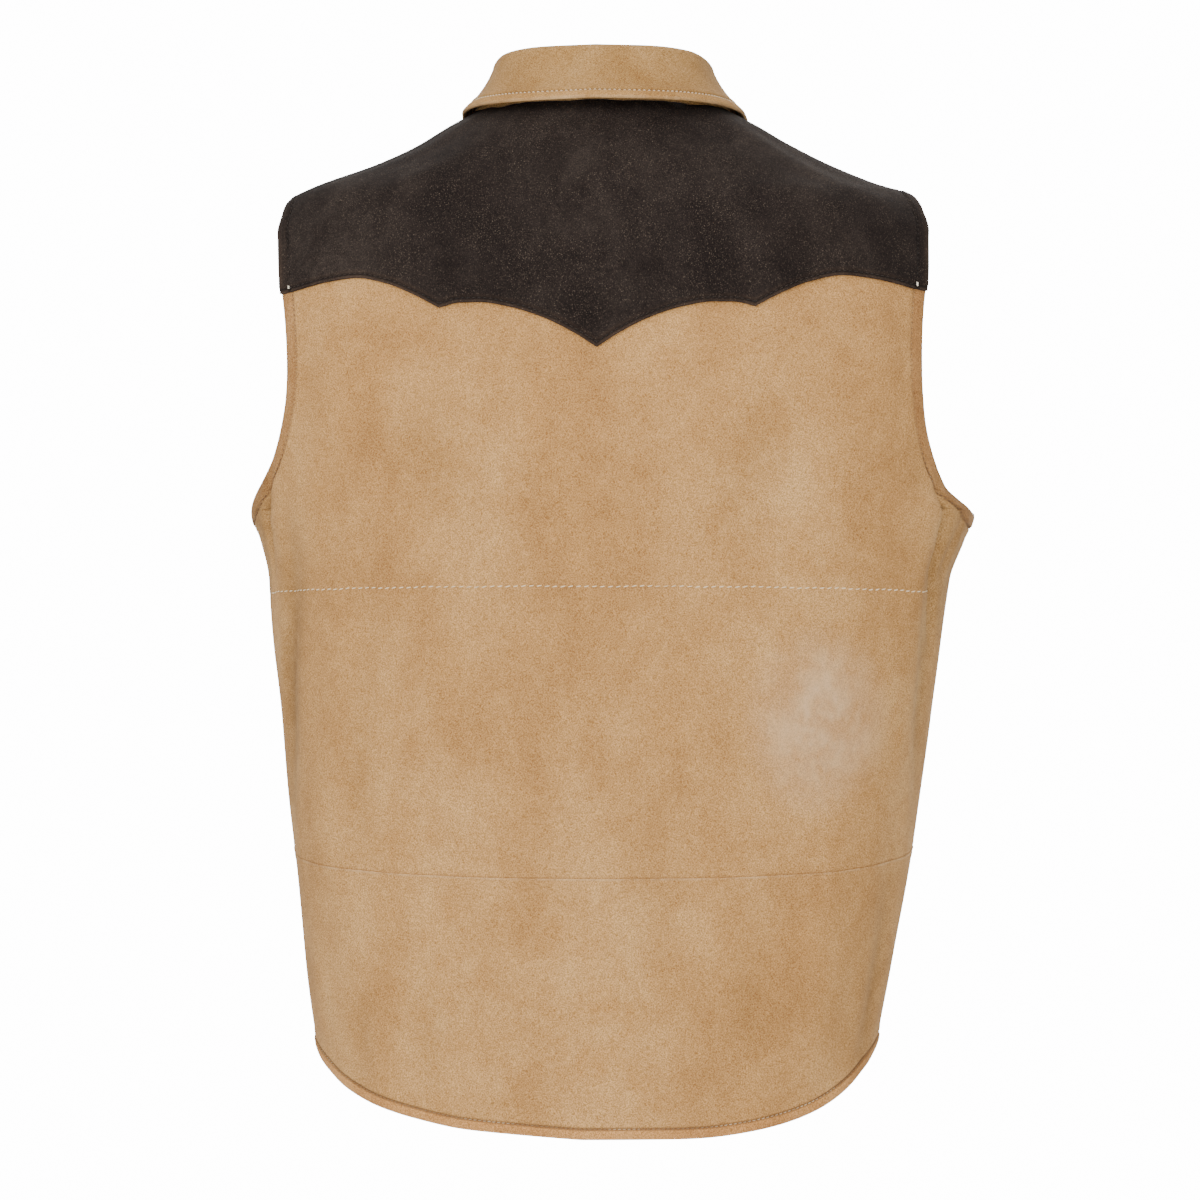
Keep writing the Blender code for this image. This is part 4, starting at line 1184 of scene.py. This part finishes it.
def build_collar():
    """The collar as one closed sheet, and the line of its stitches with the way out of the cloth."""
    left = collar_half()
    middle = np.concatenate([left, left[:-1][::-1] * np.array([-1, 1, 1])])
    round_neck, down = np.gradient(middle, axis=0), np.gradient(middle, axis=1)
    way = unit(np.cross(down, round_neck))
    travelled = np.linspace(0, 1, len(middle))
    sway = np.sin(travelled * 23.0 + 0.6) + 0.6 * np.sin(travelled * 41.0)
    fallen = ease(np.linspace(-0.6, 1, middle.shape[1]))
    middle = middle + way * (COLLAR_SWAY * sway[:, None] * fallen)[..., None]
    outline, free = (
        np.concatenate([middle[0, first:], middle[1:, -1], middle[-1, first:-1][::-1]])
        for first in (0, CROWN_END)
    )
    rounding = edge_rounding(COLLAR_EDGE, distance_to(middle, outline))
    distance = distance_to(middle, free)
    relief = edge_relief(COLLAR_EDGE, distance)
    outside = middle + way * (rounding * (COLLAR_WALL / 2 + relief))[..., None]
    inside = middle - way * (rounding * COLLAR_WALL / 2)[..., None]
    facts = {
        "edge_gap": distance, "stitch_gap": np.abs(distance - COLLAR_STITCH_INSET),
        "ridge_gap": np.ones(distance.shape), "trough": np.zeros(distance.shape),
        "turned_band": on_band(COLLAR_EDGE, distance),
    }
    piece = closed_sheet("collar_suede", outside, inside, facts, SHADED_COLLAR_SUEDE)
    print(f"collar: {outside.shape[:2]} points, {outside_area(outside):.4f} m2")
    return piece, outside, way, distance


collar, collar_outside, collar_way, collar_gap = build_collar()

# %% [markdown]
# ## Stitches
#
# A lockstitch shows as short bars of thread with a little gap where the needle went down. Painted
# dashes lie flat and blur, so each bar here is a small bowed rod of 26 faces whose ends dive into
# the hide. One function lays a whole run of them along any line. The line comes from the panel's
# own edge, moved inwards by the distance of its groove.

# %% Lines beside an edge
def dot(first, second):
    """The dot product of each pair of vectors."""
    return (first * second).sum(-1)


def inset(angles, heights, distance, side, steps=6):
    """The same line moved sideways over the cloth, a little at a time.

    side is 1 to the left of the line's own direction and -1 to its right, seen from outside.
    """
    for _ in range(steps):
        here = bare_form(angles, heights)
        along = unit(np.gradient(here, axis=0))
        wanted = np.cross(outward(angles, heights), along) * side * distance / steps
        by_angle = (bare_form(angles + 1e-4, heights) - bare_form(angles - 1e-4, heights)) / 2e-4
        by_height = (bare_form(angles, heights + 1e-4) - bare_form(angles, heights - 1e-4)) / 2e-4
        aa, ah, hh = dot(by_angle, by_angle), dot(by_angle, by_height), dot(by_height, by_height)
        ga, gh = dot(by_angle, wanted), dot(by_height, wanted)
        whole = aa * hh - ah * ah
        angles = angles + (ga * hh - gh * ah) / whole
        heights = heights + (gh * aa - ga * ah) / whole
    return angles, heights


def line_on(places, lift):
    """(points, ways out) of a line on the form."""
    return on_form(*places, lift), outward(*places)


# %% Thread
STITCH_RINGS, STITCH_SIDES, THREAD_FLATNESS = 5, 6, 0.85
Stitch = namedtuple("Stitch", "pitch bar radius slant")
CHEST_STITCH = Stitch(0.0050, 0.0036, 0.00036, 0.20)
HEM_STITCH = Stitch(0.0031, 0.0021, 0.00032, 0.10)
ARM_STITCH = Stitch(0.0034, 0.0022, 0.00032, 0.10)
PLACKET_STITCH = Stitch(0.0048, 0.0035, 0.00042, 0.10)
YOKE_STITCH = Stitch(0.0036, 0.0026, 0.00030, 0.10)
COLLAR_STITCH = Stitch(0.0032, 0.0021, 0.00034, 0.05)
TACK_STITCH = Stitch(0.0007, 0.0013, 0.00036, 0.50)


def thread_run(name, lines, stitch, material):
    """Bars of thread along lines: bowed rods, fat in the middle, whose ends sink below the line.

    A ring at share t of a bar has radius * (4 t (1 - t))^0.35 and rises by
    radius * (2.2 * sin(pi t) - 1.1).
    """
    pitch, bar, radius, slant = stitch
    share = np.linspace(0.02, 0.98, STITCH_RINGS)
    rounds = np.linspace(0, 2 * math.pi, STITCH_SIDES, endpoint=False)
    every = []
    for points, ways in lines:
        travelled = lengths_along(points)
        count = int(travelled[-1] / pitch)
        starts = travelled[-1] * (np.arange(count) + 0.5) / count - bar / 2
        at = (starts[:, None] + bar * share).clip(0, travelled[-1])
        centre = np.stack([np.interp(at, travelled, points[:, i]) for i in range(3)], axis=-1)
        way = unit(np.stack([np.interp(at, travelled, ways[:, i]) for i in range(3)], axis=-1))
        along = unit(centre[:, -1:] - centre[:, :1])
        aside = np.cross(way, along)
        centre = centre + aside * (slant * bar * (share - 0.5))[None, :, None]
        centre = centre + way * (radius * (2.2 * np.sin(math.pi * share) - 1.1))[None, :, None]
        thick = radius * (4 * share * (1 - share)) ** 0.35
        ring = aside[:, :, None] * np.cos(rounds)[:, None]
        ring = ring + way[:, :, None] * np.sin(rounds)[:, None] * THREAD_FLATNESS
        every.append(centre[:, :, None] + ring * thick[None, :, None, None])
    points = np.concatenate(every)
    numbers = np.arange(points[..., 0].size).reshape(points.shape[:3])
    onward, lower = np.roll(numbers, -1, axis=2), numbers[:, :-1]
    sides = np.stack([lower, onward[:, :-1], onward[:, 1:], numbers[:, 1:]], axis=-1).reshape(-1, 4)
    caps = np.concatenate([numbers[:, 0, ::-1], numbers[:, -1]])
    hand_over(new_piece(name, points, sides.tolist() + caps.tolist(), material))
    print(f"{name}: {len(points)} stitches")


def thread_material(name, clean, soil_and_shade, soil_and_shade_amount):
    """Twisted thread: two colours by patches where it was rubbed or stained, and fine plies. On the hem
    thread the darker tones are painted shade of the groove it lies in.
    """
    material, tree, shader, place = blank_material(name, 0.75)
    stain = remapped(tree, noise(tree, place, 26.0, 3.0, 0.6), soil_and_shade_amount, soil_and_shade_amount + 0.14)
    colour = mixed(tree, stain, soil_and_shade, clean)
    ply = noise(tree, place, 2600.0, 1.0)
    colour = mixed(tree, remapped(tree, ply, 0.3, 0.7, 0.0, 0.35), colour, soil_and_shade)
    tree.links.new(colour, shader.inputs["Base Color"])
    add_bump(tree, shader, 0.4, 0.0002, ply)
    shader.inputs["Specular IOR Level"].default_value = 0.3
    return material


CREAM = thread_material("cream thread", (0.93, 0.78, 0.52, 1), (0.66, 0.45, 0.23, 1), 0.30)
# The hem thread is darker than the cream and has dark patches: painted shade of the groove it lies in.
SHADED_HEM_CREAM = thread_material("soiled thread", (0.86, 0.68, 0.42, 1), (0.32, 0.190, 0.085, 1), 0.52)
ARM_THREAD = thread_material("worn thread", (0.60, 0.42, 0.23, 1), (0.17, 0.100, 0.050, 1), 0.56)
DARK_THREAD = thread_material("dark thread", (0.040, 0.026, 0.019, 1), (0.020, 0.015, 0.013, 1), 0.40)
WHITE_THREAD = thread_material("white thread", (0.95, 0.88, 0.72, 1), (0.80, 0.70, 0.54, 1), 0.10)

# %% Runs of stitches
TURNED_SIT = TURNED.band / 2 - TURNED.groove + 0.00045
PLACKET_SIT = PLACKET.band / 2 - PLACKET.groove + 0.00025
CUT_SIT = YOKE_LIFT - CUT.groove + 0.00030
CHEST_ABOVE_SEAM, COLLAR_THREAD_RISE = 0.0007, 0.00030
LAPPED_PLACES = 37
ROUND_BACK = np.linspace(0.01, math.pi - 0.01, 700)
SEEN_CHEST = np.linspace(math.radians(11.5), math.radians(161.0), 600)


def even_line(angles, heights):
    """A line's places at even lengths, close enough for a smooth row of stitches."""
    return evened(angles, heights, np.linspace(0, 1, 500))


def beside(places, distance, side, lift):
    """(points, ways out) of a line moved in from an edge."""
    return line_on(inset(*even_line(*places), distance, side), lift)


def arm_line(places, side, lift=TURNED_SIT):
    """The line of an armhole's stitches, along the inner edge of its band."""
    return beside(places, ARM_BAND_WIDTH, side, lift)


def level_line(values, wanted, first, grid):
    """Where each row of a grid reaches a wanted distance: the crossing between two columns."""
    rows = np.arange(len(values))
    over = values[:, first:-1] > wanted
    column = first + over.shape[1] - 1 - over[:, ::-1].argmax(axis=1)
    share = (values[rows, column] - wanted) / (values[rows, column] - values[rows, column + 1])
    return grid[rows, column] + (grid[rows, column + 1] - grid[rows, column]) * share[:, None]


wander = 0.0002 * np.sin(23 * SEEN_CHEST) + 0.00015 * np.sin(61 * SEEN_CHEST + 1.0)
chest_line = line_on((SEEN_CHEST, chest_seam(SEEN_CHEST) + CHEST_ABOVE_SEAM + wander), 0.0)
thread_run("chest_seam_stitches", [chest_line], CHEST_STITCH, CREAM)

right_seen = [values[:-LAPPED_PLACES] for values in right_hem]
hems = {"back": (ROUND_BACK, hem_height(ROUND_BACK)), "left": left_hem, "right": right_seen}
for side, places in hems.items():
    line = beside(places, BAND_WIDTH, 1, TURNED_SIT)
    thread_run(f"{side}_hem_stitches", [line], HEM_STITCH, SHADED_HEM_CREAM)

arm_lines = {
    "back": [arm_line(back_armholes[0], -1), arm_line(back_armholes[1], 1)],
    "left": [arm_line(left_front_armhole, 1)],
    "right": [arm_line(right_front_armhole, -1)],
}
for side, lines in arm_lines.items():
    thread_run(f"{side}_armhole_stitches", lines, ARM_STITCH, ARM_THREAD)

placket_line = beside(placket_edge, BAND_WIDTH, -1, PLACKET_SIT)
thread_run("placket_stitches", [placket_line], PLACKET_STITCH, CREAM)

yoke_lines = [arm_line(edge, side, YOKE_LIFT + TURNED_SIT) for edge, side in zip(yoke_armholes, (1, -1))]
lobe_end = inner_lobe[0][-1]
cusps = [int(np.abs(scallop_edge[0] - angle).argmin()) for angle in (lobe_end, BACK, mirrored(lobe_end))]
for first, last in zip([0] + cusps, cusps + [len(scallop_edge[0]) - 1]):
    lobe = [values[first : last + 1] for values in scallop_edge]
    yoke_lines.append(beside(lobe, YOKE_STITCH_INSET, 1, CUT_SIT))
yoke_lines += [beside(end, YOKE_STITCH_INSET, side, CUT_SIT) for end, side in zip(yoke_ends, (-1, 1))]
thread_run("yoke_stitches", yoke_lines, YOKE_STITCH, DARK_THREAD)

rows = slice(FRONT_END_ROWS, -FRONT_END_ROWS)
collar_line, collar_ways = (
    level_line(collar_gap[rows], COLLAR_STITCH_INSET, CROWN_END, grid[rows])
    for grid in (collar_outside, collar_way)
)
collar_line = collar_line + collar_ways * COLLAR_THREAD_RISE
thread_run("collar_stitches", [(collar_line, collar_ways)], COLLAR_STITCH, CREAM)

# %% Bar tacks where the yoke meets the armhole bands
TACK_LOW, TACK_HIGH, TACK_RISE, TACK_WIDTH = -0.0010, 0.0050, 0.0013, 0.0006


def bar_tack(armhole, side):
    """Two short runs side by side, down the armhole's stitch line across the yoke's corner."""
    runs = []
    for aside in (0.0, TACK_WIDTH):
        angles, heights = inset(*even_line(*armhole), ARM_BAND_WIDTH + aside, side)
        keep = (heights > YOKE_CORNER + TACK_LOW) & (heights < YOKE_CORNER + TACK_HIGH)
        runs.append(line_on((angles[keep], heights[keep]), YOKE_LIFT + TACK_RISE))
    return runs


tack_lines = bar_tack(yoke_armholes[0], 1) + bar_tack(yoke_armholes[1], -1)
print("bar tack runs:", len(tack_lines), [len(points) for points, _ in tack_lines])

# %% [markdown]
# ## Snaps
#
# Each snap is a stamped metal cap: a low dome inside a rolled rim. Turning a profile round an axis
# makes it, with the radius and height at each step in one short table.

# %% Snap caps
SNAP_COUNT, SNAP_TOP, SNAP_BOTTOM = 6, -0.088, -0.590
SNAP_RADIUS, SNAP_HEIGHT, SNAP_SEAT, SNAP_SIDES = 0.0062, 0.0026, 0.0004, 48
CAP_PROFILE = [
    (0.02, 0.86), (0.18, 0.85), (0.36, 0.80), (0.52, 0.70), (0.62, 0.58), (0.67, 0.50), (0.71, 0.53),
    (0.76, 0.68), (0.83, 0.78), (0.90, 0.76), (0.96, 0.62), (1.00, 0.40), (1.00, 0.22), (0.97, 0.06),
    (0.90, 0.0), (0.02, 0.0),
]


def aged_brass():
    """Dulled brass: bright where fingers rub the rim and the dome, brown in the hollow between."""
    material, tree, shader, place = blank_material("aged brass", 0.38, 1.0)
    stain = noise(tree, place, 420.0, 4.0, 0.6)
    colour = mixed(tree, remapped(tree, stain, 0.35, 0.65), (0.20, 0.13, 0.07, 1), (0.52, 0.40, 0.25, 1))
    tree.links.new(colour, shader.inputs["Base Color"])
    tree.links.new(remapped(tree, stain, 0.3, 0.7, 0.52, 0.28), shader.inputs["Roughness"])
    add_bump(tree, shader, 0.25, 0.0002, noise(tree, place, 1500.0))
    return material


def snap_cap(name, node, height, material):
    """The profile turned round the way out of the left front at one height."""
    profile = np.array(CAP_PROFILE)
    rounds = np.linspace(0, 2 * math.pi, SNAP_SIDES, endpoint=False)
    way = outward(np.array(FRONT), np.array(height))
    side = unit(np.cross([0.0, 0.0, 1.0], way))
    upper = np.cross(way, side)
    ring = side * np.cos(rounds)[:, None] + upper * np.sin(rounds)[:, None]
    seat = on_form(np.array(FRONT), np.array(height), SNAP_SEAT)
    out, up = profile[:, :1] * SNAP_RADIUS, profile[:, 1:] * SNAP_HEIGHT
    points = seat + ring * out[:, None] + way * up[:, None]
    numbers = np.arange(points[..., 0].size).reshape(points.shape[:2])
    onward = np.roll(numbers, -1, axis=1)
    sides = np.stack([numbers[:-1], numbers[1:], onward[1:], onward[:-1]], axis=-1).reshape(-1, 4)
    caps = [numbers[0].tolist(), numbers[-1, ::-1].tolist()]
    hand_over(new_piece(name, points, sides.tolist() + caps, material), node)


BRASS = aged_brass()
for number, height in enumerate(np.linspace(SNAP_TOP, SNAP_BOTTOM, SNAP_COUNT), start=1):
    snap_cap(f"snap_cap_{number}", f"snap_{number}", height, BRASS)
thread_run("bar_tacks", tack_lines, TACK_STITCH, WHITE_THREAD)
print("snaps:", SNAP_COUNT)

# %% [markdown]
# ## Handing the sheets over
#
# A table lists each sheet with the CAD node that it stands for, a slot and the size it was cut to: a
# width, a length and the flat area inside that rectangle. Each sheet is attached to the root and its
# CAD node is hidden; of the sizes, only the sum of the areas is printed. Suede hardly stretches, so
# the area on the body is the area that was cut.

# %% Cuts
CUTS = table("sheet node slot width length area", [
    (yoke, "yoke", "dark_suede", 0.560, 0.215, 0.0766),
    (back_upper, "back_upper", "tan_suede", 0.500, 0.215, 0.0959),
    (back_middle, "back_middle", "tan_suede", 0.575, 0.185, 0.1018),
    (back_lower, "back_lower", "tan_suede", 0.530, 0.185, 0.0785),
    (front_left, "front_left", "tan_suede", 0.310, 0.665, 0.1652),
    (front_right, "front_right", "tan_suede", 0.310, 0.665, 0.1653),
    (collar, "collar", "tan_suede", 0.500, 0.095, 0.0437),
])
for cut in CUTS:
    hand_over(cut.sheet, cut.node)
print("cuts:", len(CUTS), "pieces,", round(sum(cut.area for cut in CUTS), 3), "m2")

# %% [markdown]
# ## Stage, light and camera
#
# The vest hangs as on a standing wearer, so the floor is as far below as a real one would be. A
# pale sweep curves up behind it, as in a studio. Large soft lamps near the camera give the photo's
# even light, and one weaker lamp from above keeps some shade in the folds.

# %% Stage
FLOOR, SWEEP_BACK, SWEEP_TOP, SWEEP_ROUND, SWEEP_HALF = -1.46, 4.4, 3.0, 0.9, 4.5
CAMERA_TURN, CAMERA_REACH, CAMERA_HEIGHT = math.radians(4.6), 3.2, -0.318
SEEN_WHITE, FILL = 14.0, 0.60
MIDDLE_OF_VEST = np.array([0.0, 0.0, -0.32])


def sweep():
    """Floor and wall as one sheet: flat, then a quarter circle, then straight up."""
    turn = np.linspace(0, math.pi / 2, 25)
    y = np.concatenate([[5.0], -SWEEP_BACK + SWEEP_ROUND - SWEEP_ROUND * np.sin(turn), [-SWEEP_BACK]])
    z = np.concatenate([[FLOOR], FLOOR + SWEEP_ROUND - SWEEP_ROUND * np.cos(turn), [SWEEP_TOP]])
    x = np.array([-SWEEP_HALF, SWEEP_HALF])[None, :]
    points = np.stack(np.broadcast_arrays(x, y[:, None], z[:, None]), axis=-1)
    material, tree, shader, _ = blank_material("pale paper", 0.9)
    shader.inputs["Base Color"].default_value = (0.92, 0.92, 0.92, 1)
    shader.inputs["Emission Strength"].default_value = SEEN_WHITE
    seen = tree.nodes.new("ShaderNodeLightPath").outputs["Is Camera Ray"]
    tree.links.new(seen, shader.inputs["Emission Color"])
    faces = squares(np.arange(points[..., 0].size).reshape(-1, 2)).tolist()
    new_piece("floor", points, faces, material)


def soft_lamp(name, place, size, watts):
    """A square area lamp turned towards the middle of the vest."""
    lamp = bpy.data.lights.new(name, "AREA")
    lamp.size, lamp.energy = size, watts
    holder = bpy.data.objects.new(name, lamp)
    holder.location = place
    way = MIDDLE_OF_VEST - np.array(place)
    tilt, heading = math.acos(-way[2] / np.linalg.norm(way)), math.atan2(way[1], way[0])
    holder.rotation_euler = (tilt, 0, heading - math.pi / 2)
    bpy.context.scene.collection.objects.link(holder)


def camera_behind():
    """A long lens, level with the middle of the back, a few degrees to the wearer's right."""
    camera = bpy.data.cameras.new("camera")
    camera.lens, camera.sensor_width = 145.5, 36.0
    camera.shift_x = -0.0025
    holder = bpy.data.objects.new("camera", camera)
    aside, back = -CAMERA_REACH * math.sin(CAMERA_TURN), CAMERA_REACH * math.cos(CAMERA_TURN)
    holder.location = (aside, back, CAMERA_HEIGHT)
    holder.rotation_euler = (math.pi / 2, 0, math.pi + CAMERA_TURN)
    bpy.context.scene.collection.objects.link(holder)
    bpy.context.scene.camera = holder


sweep()
soft_lamp("key_left", (1.5, 3.0, 1.2), 1.5, 75)
soft_lamp("key_right", (-1.2, 3.2, 0.7), 1.6, 55)
soft_lamp("top", (0.0, 0.6, 2.3), 2.0, 30)
soft_lamp("front_fill", (0.0, -2.2, 1.2), 2.0, 30)
camera_behind()
world = bpy.data.worlds.new("studio")
world.use_nodes = True
tree = world.node_tree
backdrop = tree.nodes["Background"]
backdrop.inputs["Color"].default_value = (1, 1, 1, 1)
seen = tree.nodes.new("ShaderNodeLightPath").outputs["Is Camera Ray"]
feed(tree, backdrop.inputs["Strength"], remapped(tree, seen, 0.0, 1.0, FILL, SEEN_WHITE))
bpy.context.scene.world = world
print("stage ready")
